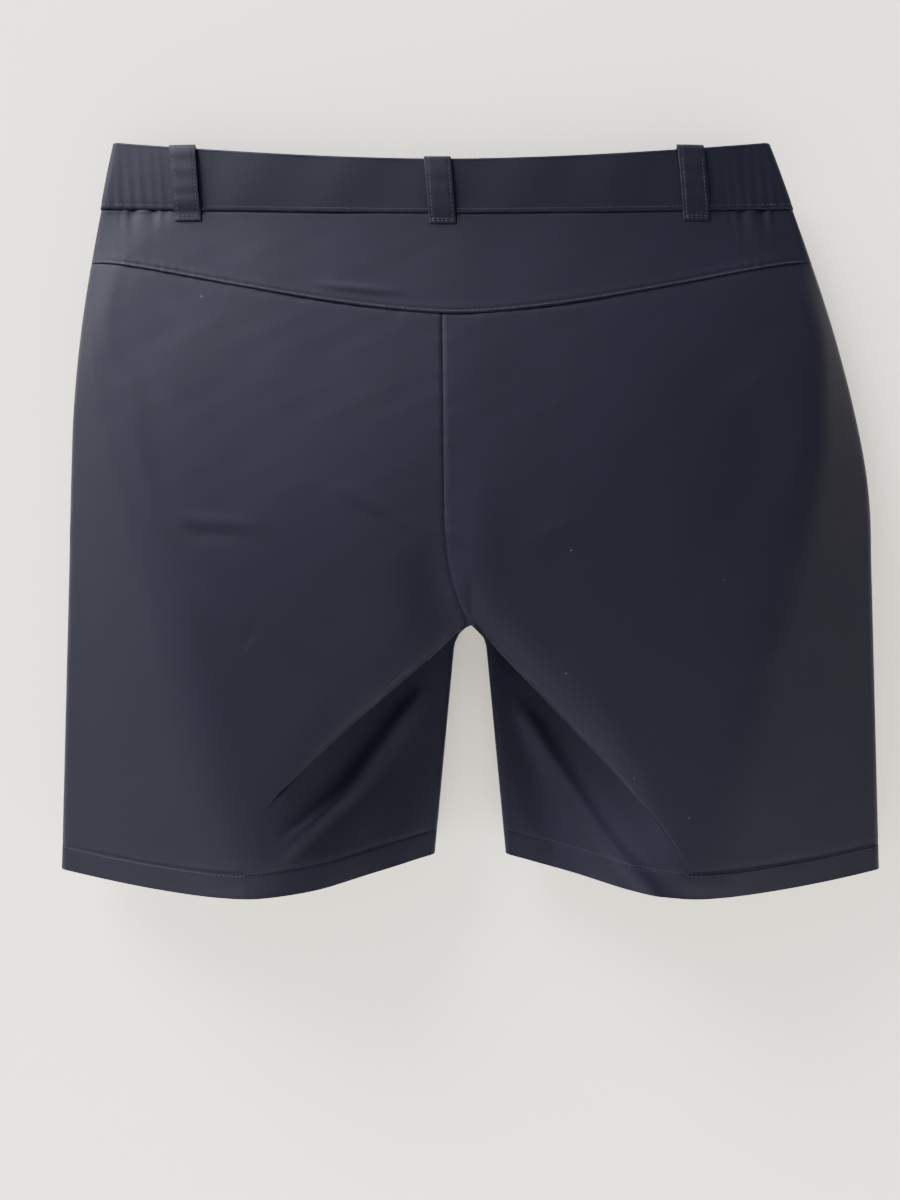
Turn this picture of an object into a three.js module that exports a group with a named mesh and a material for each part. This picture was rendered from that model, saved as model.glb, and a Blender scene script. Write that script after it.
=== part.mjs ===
// Woven stretch outdoor shorts, hanging flat from their waistband.
// Millimetres. +X is the wearer's left, +Y the back, +Z up.
// The origin is midway between the two places where the waistband is gripped,
// halfway up the waistband and between its front and back layers.
import * as THREE from 'three';
import { mergeVertices } from 'three/addons/utils/BufferGeometryUtils.js';

// ---- overall size ----
const waistHalfWidth = 208;
const hipHalfWidth = 255;
const hemHalfWidth = 260;
const sideTopZ = 28;
const sideHemZ = -434;
const hipDrop = 260;
const crotchZ = -281;
const waistLean = 5;
const bodyLean = -13.5;
const leanDrop = 220;

// ---- heights of seams and edges at the centre and at the sides ----
const backTopZ = 13;
const frontTopZ = 1;
const backBandHeight = 35;
const frontBandHeight = 35;
const sideBandHeight = 44;
const yokeSeamCentreZ = -87;
const yokeSeamSideZ = -51;
const crestHemDrop = 10;
const innerHemRise = 15;
const hemAllowance = 18;

// ---- depth of the hanging cloth ----
const sideFoldRadius = 5;
const innerFoldRadius = 4;
const waistDepthBack = 11;
const waistDepthFront = 14;
const gripDepth = 6;
const seatDepth = 43;
const crestDepth = 50;
const frontDepth = 20;
const lipRadius = 20;
const ridgeOffsetHem = 122;
const crestOffset = 137;
const legGapTop = 9;
const legGapGrowth = 13;

// ---- cloth and clearances ----
const cloth = 1;
const bandCloth = 0.8;
const elasticThickness = 1.2;
const gap = 0.3;
const seamGap = 0.4;
const bandProud = 0.8;

// ---- belt loops ----
const loopWidth = 17;
const loopCloth = 1.4;
const loopClearance = 5.8;
const loopTail = 7;
const backLoopOffset = 160;
const frontLoopOffset = 100;
const frontJoin = 120;
const underlap = 6;

// ---- fly, zip and snap ----
const flyLength = 122;
const placketWidth = 28;
const placketOverlap = 8;
const zipOffset = 6;
const zipTapeWidth = 10;
const zipTapeThickness = 0.6;
const toothWidth = 2.7;
const toothDepth = 1.8;
const toothPitch = 3;
const zipMiddleGap = 1.2;
const sliderLength = 9;
const sliderWidth = 9;
const sliderPlate = 1;
const sliderBridge = 0.6;
const pullerLength = 20;
const pullerWidth = 6;
const pullerThickness = 1;
const tabOverlap = 16;
const tabThickness = 1.3;
const snapRadius = 7.5;
const snapCapThickness = 0.9;
const snapPostRadius = 1.8;
const snapClearance = 0.4;
const snapSocketRadius = 4;

// ---- pockets and labels ----
const pocketMouthOffset = 128;
const pocketMouthDrop = 140;
const pocketBagDepth = 215;
const pocketClearance = 1;
const pocketBagInner = 60;
const careLabelWidth = 30;
const careLabelHeight = 55;
const sizeLabelWidth = 32;
const sizeLabelHeight = 16;
const labelThickness = 0.5;

const clothFinish = { color: 0x1d1d29, roughness: 0.78, metalness: 0 };
const finishes = {
  shell: clothFinish,
  facing: { color: 0x181822, roughness: 0.85, metalness: 0 },
  elastic: { color: 0x20202a, roughness: 0.9, metalness: 0 },
  pocket: { color: 0x15151d, roughness: 0.9, metalness: 0 },
  tape: { color: 0x14141c, roughness: 0.9, metalness: 0 },
  teeth: { color: 0x101015, roughness: 0.45, metalness: 0 },
  metal: { color: 0x2b2c30, roughness: 0.35, metalness: 0.9 },
  label: { color: 0xd8d8d6, roughness: 0.8, metalness: 0 },
};

const shorts = new THREE.Group();

function add(name, geometry, finish) {
  const mesh = new THREE.Mesh(geometry, new THREE.MeshStandardMaterial(finishes[finish]));
  mesh.name = name;
  shorts.add(mesh);
}

// ---- shape of the hanging garment ----
const clamp01 = (t) => Math.min(1, Math.max(0, t));
const mix = (a, b, t) => a + (b - a) * t;
const ease = (t) => clamp01(t) ** 2 * (3 - 2 * clamp01(t));
const quarterRound = (t) => Math.sqrt(1 - (1 - clamp01(t)) ** 2);
const smoothMin = (a, b, k) => {
  const h = clamp01(0.5 + (b - a) / (2 * k));
  return mix(b, a, h) - k * h * (1 - h);
};

const centreX = (z) => mix(waistLean, bodyLean, clamp01((sideTopZ - z) / leanDrop));

function halfWidth(z) {
  const toHip = clamp01((sideTopZ - z) / hipDrop);
  const toHem = clamp01((sideTopZ - hipDrop - z) / (sideTopZ - hipDrop - sideHemZ));
  const upper = mix(waistHalfWidth, hipHalfWidth, Math.sin((Math.PI / 2) * toHip));
  return upper + (hemHalfWidth - hipHalfWidth) * toHem;
}

// Top edges and seams, by the offset from the centre line.
const sideBend = (offset) => clamp01(offset / halfWidth(0)) ** 1.8;
const backTop = (offset) => mix(backTopZ, sideTopZ, sideBend(offset));
const frontTop = (offset) => mix(frontTopZ, sideTopZ, sideBend(offset));
const backSeam = (offset) => {
  return mix(backTopZ - backBandHeight, sideTopZ - sideBandHeight, sideBend(offset));
};
const frontSeam = (offset) => {
  return mix(frontTopZ - frontBandHeight, sideTopZ - sideBandHeight, sideBend(offset));
};
function yokeSeam(offset) {
  const reach = clamp01(offset / halfWidth(yokeSeamSideZ));
  return mix(yokeSeamSideZ, yokeSeamCentreZ, (1 - reach ** 1.6) ** 1.3);
}
function hem(offset) {
  const inner = clamp01((crestOffset - offset) / crestOffset);
  const outer = clamp01((offset - crestOffset) / (hemHalfWidth - crestOffset));
  return sideHemZ - crestHemDrop * (1 - outer ** 1.8) + (innerHemRise + crestHemDrop) * inner ** 1.5;
}

// The centre-back seam runs nearly straight down, then swings in to the crotch.
const seatSeamX = (z) => {
  const swing = clamp01((-200 - z) / (-200 - crotchZ)) ** 2.8;
  const straight = waistLean - 2 * clamp01(-z / 200);
  return mix(straight, centreX(crotchZ), swing);
};
const legGap = (z) => {
  const below = Math.max(0, crotchZ - z);
  return legGapTop * quarterRound(below / 14) + (legGapGrowth * below) / 140;
};

// How deep the side ridge and the centre of the seat stand from the middle plane.
const ridgeOffset = (z) => Math.max(14, (ridgeOffsetHem * (yokeSeamSideZ - z)) / 377);
const ridgeDepth = (z) => mix(gripDepth, crestDepth, Math.sin((Math.PI / 2) * clamp01(-(z + 20) / 380)));
const centreDepth = (z) => mix(waistDepthBack, seatDepth, ease((-30 - z) / 210));

// Below the crotch the seat cloth hangs over the inner leg in a diagonal fold.
const foldSlope = { 1: 0.86, '-1': 1.05 };
function foldZ(side, offset) {
  const reach = Math.abs(offset) / crestOffset;
  return crotchZ - foldSlope[side] * Math.abs(offset) - 31 * reach ** 24;
}

function innerLegDepth(offset, z, rise) {
  const inside = Math.max(0, offset - legGap(z));
  return innerFoldRadius * quarterRound(inside / innerFoldRadius) + rise * clamp01(inside / 100);
}

function backY(x, z) {
  const side = x >= centreX(z) ? 1 : -1;
  const offset = Math.abs(x - centreX(z));
  const edge = Math.max(0, halfWidth(z) - offset);
  const slope = (ridgeDepth(z) - sideFoldRadius) / ridgeOffset(z);
  const sidePlane = sideFoldRadius * quarterRound(edge / sideFoldRadius) + slope * edge;
  const toRidge = offset / (halfWidth(z) - ridgeOffset(z));
  const seat = mix(centreDepth(z), ridgeDepth(z), ease(toRidge));
  const full = smoothMin(sidePlane, seat, 3);
  const tucked = innerLegDepth(offset, z, 8);
  const lift = quarterRound(((z - foldZ(side, offset)) * 0.72) / lipRadius);
  return seamGap / 2 + mix(Math.min(tucked, full), full, lift);
}

function frontY(x, z) {
  const offset = Math.abs(x - centreX(z));
  const edge = Math.max(0, halfWidth(z) - offset);
  const sidePlane = sideFoldRadius * quarterRound(edge / sideFoldRadius) + 0.1 * edge;
  const bow = 1 - clamp01(offset / backLoopOffset) ** 2;
  const waist = mix(gripDepth, waistDepthFront, bow);
  const flat = mix(waist, frontDepth, ease((-175 - z) / 100));
  const full = smoothMin(sidePlane, flat, 3);
  const tucked = Math.min(full, innerLegDepth(offset, z, 30));
  const lift = quarterRound(((z - crotchZ + 1.1 * offset) * 0.7) / lipRadius);
  return -seamGap / 2 - mix(tucked, full, lift);
}

// ---- a piece of cloth: a closed solid between two offsets of one surface ----
// point(u, v) is the surface, out is +1 where it faces back and -1 where it faces front.
function clothSolid(point, out, us, vs, outerOffset, innerOffset, edgeNormal = null) {
  const step = 1e-3;
  const positions = [];
  const layer = (offset) => {
    for (const v of vs) {
      for (const u of us) {
        const u0 = Math.max(0, u - step);
        const v0 = Math.max(0, v - step);
        const along = point(Math.min(1, u + step), v).sub(point(u0, v));
        const down = point(u, Math.min(1, v + step)).sub(point(u, v0));
        const normal = along.cross(down).normalize();
        if (normal.dot(new THREE.Vector3(0, out, 0)) < 0) normal.negate();
        if (edgeNormal) edgeNormal(u, v, normal, point(u, v));
        positions.push(...point(u, v).addScaledVector(normal.normalize(), offset).toArray());
      }
    }
  };
  layer(outerOffset);
  layer(innerOffset);
  const nu = us.length;
  const nv = vs.length;
  const index = [];
  const at = (i, j, k) => k * nu * nv + j * nu + i;
  const quad = (a, b, c, d) => index.push(a, b, c, a, c, d);
  for (let j = 0; j < nv - 1; j += 1) {
    for (let i = 0; i < nu - 1; i += 1) {
      quad(at(i, j, 0), at(i + 1, j, 0), at(i + 1, j + 1, 0), at(i, j + 1, 0));
      quad(at(i, j, 1), at(i, j + 1, 1), at(i + 1, j + 1, 1), at(i + 1, j, 1));
    }
  }
  for (let i = 0; i < nu - 1; i += 1) {
    quad(at(i, 0, 1), at(i + 1, 0, 1), at(i + 1, 0, 0), at(i, 0, 0));
    quad(at(i, nv - 1, 0), at(i + 1, nv - 1, 0), at(i + 1, nv - 1, 1), at(i, nv - 1, 1));
  }
  for (let j = 0; j < nv - 1; j += 1) {
    quad(at(0, j, 0), at(0, j + 1, 0), at(0, j + 1, 1), at(0, j, 1));
    quad(at(nu - 1, j, 1), at(nu - 1, j + 1, 1), at(nu - 1, j + 1, 0), at(nu - 1, j, 0));
  }
  return outward(positions, index);
}

// Turns the faces of a closed surface to point out of it.
function outward(positions, index) {
  let volume = 0;
  const corner = (i) => new THREE.Vector3().fromArray(positions, 3 * i);
  for (let t = 0; t < index.length; t += 3) {
    volume += corner(index[t]).dot(corner(index[t + 1]).cross(corner(index[t + 2])));
  }
  const turned = [...index];
  if (volume < 0) turned.reverse();
  const geometry = new THREE.BufferGeometry();
  geometry.setAttribute('position', new THREE.Float32BufferAttribute(positions, 3));
  geometry.setIndex(turned);
  return mergeVertices(geometry, 1e-4);
}

// Merges a stock geometry into one closed surface, moving each point by place().
function welded(geometry, place) {
  geometry.deleteAttribute('normal');
  geometry.deleteAttribute('uv');
  const merged = mergeVertices(geometry, 1e-4);
  const positions = merged.getAttribute('position');
  const placed = [];
  for (let i = 0; i < positions.count; i += 1) {
    placed.push(...place(positions.getX(i), positions.getY(i), positions.getZ(i)));
  }
  const index = merged.getIndex().array;
  const kept = [];
  for (let i = 0; i < index.length; i += 3) {
    const [a, b, c] = [index[i], index[i + 1], index[i + 2]];
    if (a !== b && b !== c && c !== a) kept.push(a, b, c);
  }
  return outward(placed, kept);
}

const even = (count) => Array.from({ length: count + 1 }, (_, i) => i / count);
// Columns that crowd together at the far end, where the cloth turns the side fold.
const crowdedOut = (count) => even(count).map((t) => 1 - (1 - t) ** 2);
const crowdedBoth = (count) => even(count).map((t) => (1 - Math.cos(Math.PI * t)) / 2);

// A point on a layer, found where a share of the width meets a share of the height.
// A panel's last share of height is its turned-up hem.
const turnUpShare = 0.06;
function layerPoint(layer, u, v) {
  const body = layer.turnUp ? 1 - turnUpShare : 1;
  const heightAt = (offset) => {
    const bodyEnd = layer.bottom(offset) + (layer.turnUp ? hemAllowance : 0);
    if (v <= body) return mix(layer.top(offset), bodyEnd, v / body);
    return mix(bodyEnd, layer.bottom(offset), (v - body) / (1 - body));
  };
  let z = heightAt(100);
  let x = 0;
  for (let turn = 0; turn < 14; turn += 1) {
    x = mix(layer.inner(z), layer.outer(z), u);
    z = heightAt(Math.abs(x - centreX(z)));
  }
  return new THREE.Vector3(x, layer.depth(x, z), z);
}

// At a fold the cloth faces sideways, and at the centre seams straight back or front.
function panelEdges(side, foldInner) {
  return (u, v, normal, at) => {
    if (u >= 1) normal.set(side, 0, 0);
    if (u > 0 || !foldInner) return;
    if (at.z < crotchZ - 0.01) normal.set(-side, 0, 0);
    else normal.x = 0;
  };
}

// Rows that pass exactly through the given heights, then one for the turned-up hem.
function rowsThrough(heights, counts) {
  const top = heights[0];
  const body = 1 - turnUpShare;
  const shares = heights.map((z) => (body * (top - z)) / (top - heights.at(-1)));
  const rows = [0];
  counts.forEach((count, i) => {
    even(count).slice(1).forEach((t) => rows.push(mix(shares[i], shares[i + 1], t)));
  });
  return [...rows, 1];
}

// The fly placket's stitching curves in below the zip.
const flyTopZ = frontTopZ - frontBandHeight;
const flyBottomZ = flyTopZ - flyLength;
const placketHinge = placketWidth - placketOverlap;
const jCurve = (z, reach) => {
  const below = (flyBottomZ - 1 - z) / 14;
  return below >= 1 ? seamGap / 2 : mix(seamGap / 2, reach, Math.sqrt(1 - clamp01(below) ** 2));
};

const sides = { left: 1, right: -1 };
// Two more columns by the side seam, where the cloth turns over tightly.
const turnedEdge = (columns) => [...columns.slice(0, -1), 1 - 1 / 90, 1 - 1 / 300, 1];
const backColumns = turnedEdge(crowdedBoth(17));
const frontColumns = turnedEdge(crowdedBoth(11));
const hemInside = cloth + 2 * gap;
for (const [name, side] of Object.entries(sides)) {
  const legInner = (z) => centreX(z) + side * (legGap(z) + seamGap / 2);
  const outer = (z) => centreX(z) + side * halfWidth(z);
  const back = {
    depth: backY,
    top: (offset) => yokeSeam(offset) - seamGap / 2,
    bottom: hem,
    turnUp: true,
    inner: (z) => (z >= crotchZ ? seatSeamX(z) + (side * seamGap) / 2 : legInner(z)),
    outer,
  };
  const flyEdge = side > 0 ? placketHinge + seamGap : 2.5;
  const front = {
    depth: frontY,
    top: (offset) => frontSeam(offset) - seamGap / 2,
    bottom: hem,
    turnUp: true,
    inner: (z) => (z >= crotchZ ? centreX(z) + side * jCurve(z, flyEdge) : legInner(z)),
    outer: (z) => centreX(z) + side * pocketCut(z),
  };
  const hemBand = (panel) => ({
    ...panel,
    turnUp: false,
    top: (offset) => hem(offset) + hemAllowance,
    bottom: (offset) => hem(offset) + 0.5,
  });
  const turnUpZ = hem(20) + hemAllowance;
  const backRows = rowsThrough([yokeSeamCentreZ, crotchZ, turnUpZ], [11, 8]);
  const frontRows = rowsThrough([flyTopZ, flyBottomZ - 2, crotchZ, turnUpZ], [6, 7, 4]);
  const edges = panelEdges(side, true);
  const pointOn = (layer) => (u, v) => layerPoint(layer, u, v);
  add(`back_panel_${name}`,
    clothSolid(pointOn(back), 1, backColumns, backRows, 0, -cloth, edges), 'shell');
  add(`front_panel_${name}`,
    clothSolid(pointOn(front), -1, frontColumns, frontRows, 0, -cloth, edges), 'shell');
  const hemLayers = [['back', back, 1, backColumns], ['front', front, -1, frontColumns]];
  for (const [layerName, layer, out, columns] of hemLayers) {
    const band = hemBand({ ...layer, outer });
    add(`hem_facing_${layerName}_${name}`,
      clothSolid(pointOn(band), out, columns, even(1), -hemInside, -hemInside - cloth, edges),
      'facing');
  }
}

// The front panel stops short of the side seam where the hand pocket opens.
function pocketCut(z) {
  const mouthTop = sideTopZ - sideBandHeight;
  const reach = clamp01((mouthTop - z) / pocketMouthDrop);
  const full = halfWidth(z);
  return reach >= 1 ? full : mix(pocketMouthOffset, full, Math.sin((Math.PI / 2) * reach) ** 1.4);
}

// ---- yoke: one piece across the back ----
function acrossPoint(depth, top, bottom) {
  return (u, v) => {
    const layer = {
      depth,
      top,
      bottom,
      inner: (z) => centreX(z) - halfWidth(z),
      outer: (z) => centreX(z) + halfWidth(z),
    };
    return layerPoint(layer, u, v);
  };
}
const acrossEdges = (u, v, normal) => {
  if (u >= 1) normal.set(1, 0, 0);
  if (u <= 0) normal.set(-1, 0, 0);
};
const yokeTop = (offset) => backSeam(offset) - seamGap / 2;
const yokeBottom = (offset) => yokeSeam(offset) + seamGap / 2;
add('back_yoke',
  clothSolid(acrossPoint(backY, yokeTop, yokeBottom), 1, crowdedBoth(30), even(3), 0, -cloth, acrossEdges),
  'shell');

// ---- pocket facing behind each pocket mouth, and the bag hanging from it ----
for (const [name, side] of Object.entries(sides)) {
  const facing = {
    depth: frontY,
    top: (offset) => frontSeam(offset) - seamGap / 2,
    bottom: () => sideTopZ - sideBandHeight - pocketMouthDrop - 8,
    inner: (z) => centreX(z) + side * (pocketMouthOffset - 25),
    outer: (z) => centreX(z) + side * halfWidth(z),
  };
  const bag = {
    depth: frontY,
    top: (offset) => frontSeam(offset) - 2,
    bottom: (offset) => -pocketBagDepth + 0.12 * offset,
    inner: (z) => centreX(z) + side * pocketBagInner,
    outer: (z) => centreX(z) + side * (halfWidth(z) - 30),
  };
  const under = cloth + pocketClearance;
  const edges = panelEdges(side, false);
  add(`pocket_facing_${name}`,
    clothSolid((u, v) => layerPoint(facing, u, v), -1, crowdedOut(8), even(6), -under, -under - cloth, edges),
    'shell');
  const deeper = under + cloth + pocketClearance;
  add(`pocket_bag_${name}`,
    clothSolid((u, v) => layerPoint(bag, u, v), -1, even(6), even(6), -deeper, -deeper - bandCloth),
    'pocket');
}

// ---- waistband: outer pieces, elastic in the sides, and an inner facing ----
const bandInner = bandProud - bandCloth - gap;
const facingOuter = bandInner - elasticThickness - gap;
const bandLayers = {
  outer: [bandProud, bandProud - bandCloth],
  elastic: [bandInner, bandInner - elasticThickness],
  facing: [facingOuter, facingOuter - bandCloth],
};

// A stretch of waistband between two offsets from the centre line, on one layer.
function bandStretch(out, from, to, layer, inset, columns) {
  const top = out > 0 ? backTop : frontTop;
  const seam = out > 0 ? backSeam : frontSeam;
  const depth = out > 0 ? backY : frontY;
  const point = (u, v) => {
    const across = mix(from, to, u);
    const offset = Math.abs(across);
    const z = mix(top(offset) - inset, seam(offset) + inset + seamGap, v);
    const x = centreX(z) + across;
    return new THREE.Vector3(x, depth(x, z), z);
  };
  const [outerOffset, innerOffset] = bandLayers[layer];
  return clothSolid(point, out, even(columns), even(2), outerOffset, innerOffset);
}

// A stretch that turns the side fold, from the back loop round to the front one.
function bandTurn(side, layer, inset) {
  const point = (u, v) => {
    const turn = 1 - 2 * u;
    const back = turn >= 0;
    const join = (back ? backLoopOffset : frontJoin) + seamGap;
    let z = 0;
    let offset = 0;
    for (let pass = 0; pass < 8; pass += 1) {
      offset = halfWidth(z) - (halfWidth(z) - join) * turn * turn;
      const top = back ? backTop(offset) : frontTop(offset);
      const seam = back ? backSeam(offset) : frontSeam(offset);
      z = mix(top - inset, seam + inset + seamGap, v);
    }
    const x = centreX(z) + side * offset;
    const y = back ? backY(x, z) : frontY(x, z);
    return new THREE.Vector3(x, turn === 0 ? 0 : y, z);
  };
  // The cloth turns from facing back to facing front, so its normal is set by the turn.
  const outwardAt = (u, v, normal) => {
    if (normal.x * side < 0 && Math.abs(1 - 2 * u) < 0.5) normal.negate();
    if (Math.abs(1 - 2 * u) < 1e-6) normal.set(side, 0, 0);
    else if (normal.y * (1 - 2 * u) < 0) normal.negate();
  };
  const [outerOffset, innerOffset] = bandLayers[layer];
  return clothSolid(point, 1, even(16), even(2), outerOffset, innerOffset, outwardAt);
}

const waistPieces = { outer: 'waistband', facing: 'waistband_facing' };
for (const [layer, title] of Object.entries(waistPieces)) {
  const inset = layer === 'outer' ? 0 : 1.2;
  const finish = layer === 'outer' ? 'shell' : 'facing';
  add(`${title}_back`,
    bandStretch(1, -backLoopOffset, backLoopOffset, layer, inset, 12), finish);
  add(`${title}_front_left`,
    bandStretch(-1, placketHinge + seamGap, frontJoin, layer, inset, 5), finish);
  add(`${title}_front_right`,
    bandStretch(-1, -frontJoin, underlap, layer, inset, 6), finish);
  for (const [name, side] of Object.entries(sides)) {
    add(`${title}_side_${name}`, bandTurn(side, layer, inset), finish);
  }
}
for (const [name, side] of Object.entries(sides)) {
  add(`waist_elastic_${name}`, bandTurn(side, 'elastic', 3), 'elastic');
}

// ---- belt loops: a strip over the waistband's edge, bowed out to pass a belt ----
function beltLoop(out, across) {
  const offset = Math.abs(across);
  const depth = out > 0 ? backY : frontY;
  const topZ = (out > 0 ? backTop : frontTop)(offset + loopWidth / 2);
  const seamZ = (out > 0 ? backSeam : frontSeam)(offset);
  const bow = bandProud + loopClearance;
  const inside = bandLayers.facing[1] - gap;
  const inner = [
    [gap, seamZ - loopTail],
    [gap, seamZ - 3],
    [bow, seamZ + 4],
    [bow, topZ - 5],
    [bandProud + gap, topZ + gap],
    [inside, topZ + gap],
    [inside, topZ - 6],
  ];
  const outer = [
    [gap + loopCloth, seamZ - loopTail],
    [gap + loopCloth, seamZ - 3.5],
    [bow + loopCloth, seamZ + 3.5],
    [bow + loopCloth, topZ - 4.5],
    [bandProud + gap + 0.6, topZ + gap + loopCloth],
    [inside - loopCloth, topZ + gap + loopCloth],
    [inside - loopCloth, topZ - 6],
  ];
  const zMiddle = (topZ + seamZ) / 2;
  const x = centreX(zMiddle) + across;
  const bend = depth(x + loopWidth / 2, zMiddle) - depth(x - loopWidth / 2, zMiddle);
  const along = new THREE.Vector3(loopWidth, bend, 0).normalize();
  const away = new THREE.Vector3(-along.y, along.x, 0).multiplyScalar(out);
  const shape = new THREE.Shape();
  [...inner, ...outer.reverse()].forEach(([o, z], i) => {
    if (i === 0) shape.moveTo(o, z);
    else shape.lineTo(o, z);
  });
  const strip = new THREE.ExtrudeGeometry(shape, { depth: loopWidth, bevelEnabled: false });
  return welded(strip, (o, z, w) => {
    const footX = centreX(z) + across;
    const foot = new THREE.Vector3(footX, depth(footX, z), z);
    foot.addScaledVector(along, w - loopWidth / 2).addScaledVector(away, o);
    return foot.toArray();
  });
}
add('belt_loop_centre_back', beltLoop(1, 0), 'shell');
add('belt_loop_back_left', beltLoop(1, backLoopOffset), 'shell');
add('belt_loop_back_right', beltLoop(1, -backLoopOffset), 'shell');
add('belt_loop_front_left', beltLoop(-1, frontLoopOffset), 'shell');
add('belt_loop_front_right', beltLoop(-1, -frontLoopOffset), 'shell');

// ---- fly: everything is measured back from the outer face of the front cloth ----
const flyX = (z) => centreX(z);
const faceY = -waistDepthFront - seamGap / 2;

// A flat strip of cloth at the fly that leans with the garment.
function flyStrip(fromX, toX, topZ, bottomZ, outerY, thickness, lift = () => 0) {
  const point = (u, v) => {
    const z = mix(topZ, bottomZ, v);
    const x = mix(fromX, toX, u);
    return new THREE.Vector3(flyX(z) + x, outerY - lift(x), z);
  };
  return clothSolid(point, -1, even(6), even(8), 0, -thickness);
}
const rise = (x) => (cloth + gap) * ease((placketHinge - x) / 7);
const placketTop = flyTopZ - seamGap;
add('fly_placket',
  flyStrip(-placketOverlap, placketHinge, placketTop, flyBottomZ, faceY, cloth, rise), 'shell');

const pullerFace = faceY + 0.4;
const sliderFace = pullerFace + pullerThickness + 0.4;
const teethFace = sliderFace + sliderPlate + gap;
const sliderBack = teethFace + toothDepth + gap + sliderPlate;
const tapeFace = teethFace + (toothDepth - zipTapeThickness) / 2;
const zipTop = flyTopZ - 4;
const zipBottom = flyBottomZ - 1;
const toothInner = zipMiddleGap / 2;
for (const [name, side] of Object.entries(sides)) {
  const near = zipOffset + side * (toothInner + toothWidth + gap);
  const far = near + side * zipTapeWidth;
  add(`zip_tape_${name}`,
    flyStrip(Math.min(near, far), Math.max(near, far), zipTop + 2, zipBottom - 2, tapeFace, zipTapeThickness),
    'tape');
  add(`zip_teeth_${name}`, zipTeeth(side), 'teeth');
}

// One side of the zip: a straight cord with a tooth standing off it at each pitch.
function zipTeeth(side) {
  const count = Math.floor((zipTop - zipBottom) / toothPitch);
  const shape = new THREE.Shape();
  const root = toothInner + toothWidth;
  const tip = toothInner;
  const notch = toothInner + toothWidth / 2;
  shape.moveTo(root, 0);
  for (let i = 0; i < count; i += 1) {
    shape.lineTo(notch, -i * toothPitch);
    shape.lineTo(tip, -(i + 0.25) * toothPitch);
    shape.lineTo(tip, -(i + 0.65) * toothPitch);
    shape.lineTo(notch, -(i + 0.9) * toothPitch);
  }
  shape.lineTo(notch, -count * toothPitch);
  shape.lineTo(root, -count * toothPitch);
  const solid = new THREE.ExtrudeGeometry(shape, { depth: toothDepth, bevelEnabled: false });
  return welded(solid, (x, y, depth) => {
    const z = zipTop + y;
    return [flyX(z) + zipOffset + side * x, teethFace + depth, z];
  });
}

// Parts of the zip are drawn upright round its middle line, then lean with the garment.
const alongZip = (x, y, z) => [flyX(z) + zipOffset + x, y, z];

// Slider: two plates joined by a narrow bridge between the rows of teeth.
const sliderTop = zipTop + 1;
function slider() {
  const half = sliderWidth / 2;
  const depth = sliderBack - sliderFace;
  const bridge = sliderBridge / 2;
  const shape = new THREE.Shape();
  shape.moveTo(-half, 0);
  shape.lineTo(half, 0);
  shape.lineTo(half, sliderPlate);
  shape.lineTo(bridge, sliderPlate);
  shape.lineTo(bridge, depth - sliderPlate);
  shape.lineTo(half, depth - sliderPlate);
  shape.lineTo(half, depth);
  shape.lineTo(-half, depth);
  shape.lineTo(-half, depth - sliderPlate);
  shape.lineTo(-bridge, depth - sliderPlate);
  shape.lineTo(-bridge, sliderPlate);
  shape.lineTo(-half, sliderPlate);
  const prism = new THREE.ExtrudeGeometry(shape, { depth: sliderLength, bevelEnabled: false });
  return welded(prism, (x, y, down) => alongZip(x, sliderFace + y, sliderTop - down));
}
add('zip_slider', slider(), 'metal');

// Puller: a flat tag with a hole, hanging in front of the slider.
const pullerTop = sliderTop - 2;
function puller() {
  const half = pullerWidth / 2;
  const shape = new THREE.Shape();
  shape.moveTo(-half + 1.5, 0);
  shape.lineTo(half - 1.5, 0);
  shape.lineTo(half, -pullerLength + 3);
  shape.quadraticCurveTo(half, -pullerLength, 0, -pullerLength);
  shape.quadraticCurveTo(-half, -pullerLength, -half, -pullerLength + 3);
  const hole = new THREE.Path();
  hole.absellipse(0, -pullerLength + 6, 1.5, 2.5, 0, 2 * Math.PI, false, 0);
  shape.holes.push(hole);
  const options = { depth: pullerThickness, bevelEnabled: false, curveSegments: 5 };
  const tag = new THREE.ExtrudeGeometry(shape, options);
  return welded(tag, (x, z, y) => alongZip(x, pullerFace + y, pullerTop + z));
}
add('zip_puller', puller(), 'metal');

// Bottom stop of the zip.
const stopHeight = 2.5;
const stop = new THREE.BoxGeometry(2 * (toothInner + toothWidth), toothDepth, stopHeight);
const stopZ = zipBottom - stopHeight / 2 - seamGap;
add('zip_bottom_stop',
  welded(stop, (x, y, z) => alongZip(x, teethFace + toothDepth / 2 + y, stopZ + z)), 'metal');

// Shield of cloth behind the zip.
const shieldFace = sliderBack + 0.8;
add('fly_shield', flyStrip(-20, placketHinge + 2, placketTop, flyBottomZ - 10, shieldFace, cloth), 'shell');

// ---- waistband tab with its press snap ----
// The tab starts level with the waistband at its root and rises over the snap.
const bandFace = faceY - bandProud;
const snapStack = 2.2;
const tabFace = bandFace - snapStack - tabThickness;
const snapX = -4;
const snapZ = frontTopZ - frontBandHeight / 2;

function tab() {
  const half = (frontBandHeight - seamGap) / 2;
  const roundEnd = 11;
  const point = (u, v) => {
    const across = mix(-tabOverlap, placketHinge, u);
    const end = quarterRound((across + tabOverlap + 0.6) / roundEnd);
    const height = half * mix(0.35, 1, end);
    const z = snapZ + mix(height, -height, v);
    const raised = (snapStack + tabThickness) * ease((placketHinge - across) / 12);
    return new THREE.Vector3(centreX(z) + across, bandFace - raised, z);
  };
  const columns = [0, 0.04, 0.1, 0.18, 0.3, 0.5, 0.68, 0.76, 0.84, 0.92, 1];
  return clothSolid(point, -1, columns, even(4), 0, -tabThickness);
}
add('waistband_tab', tab(), 'shell');

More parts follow.
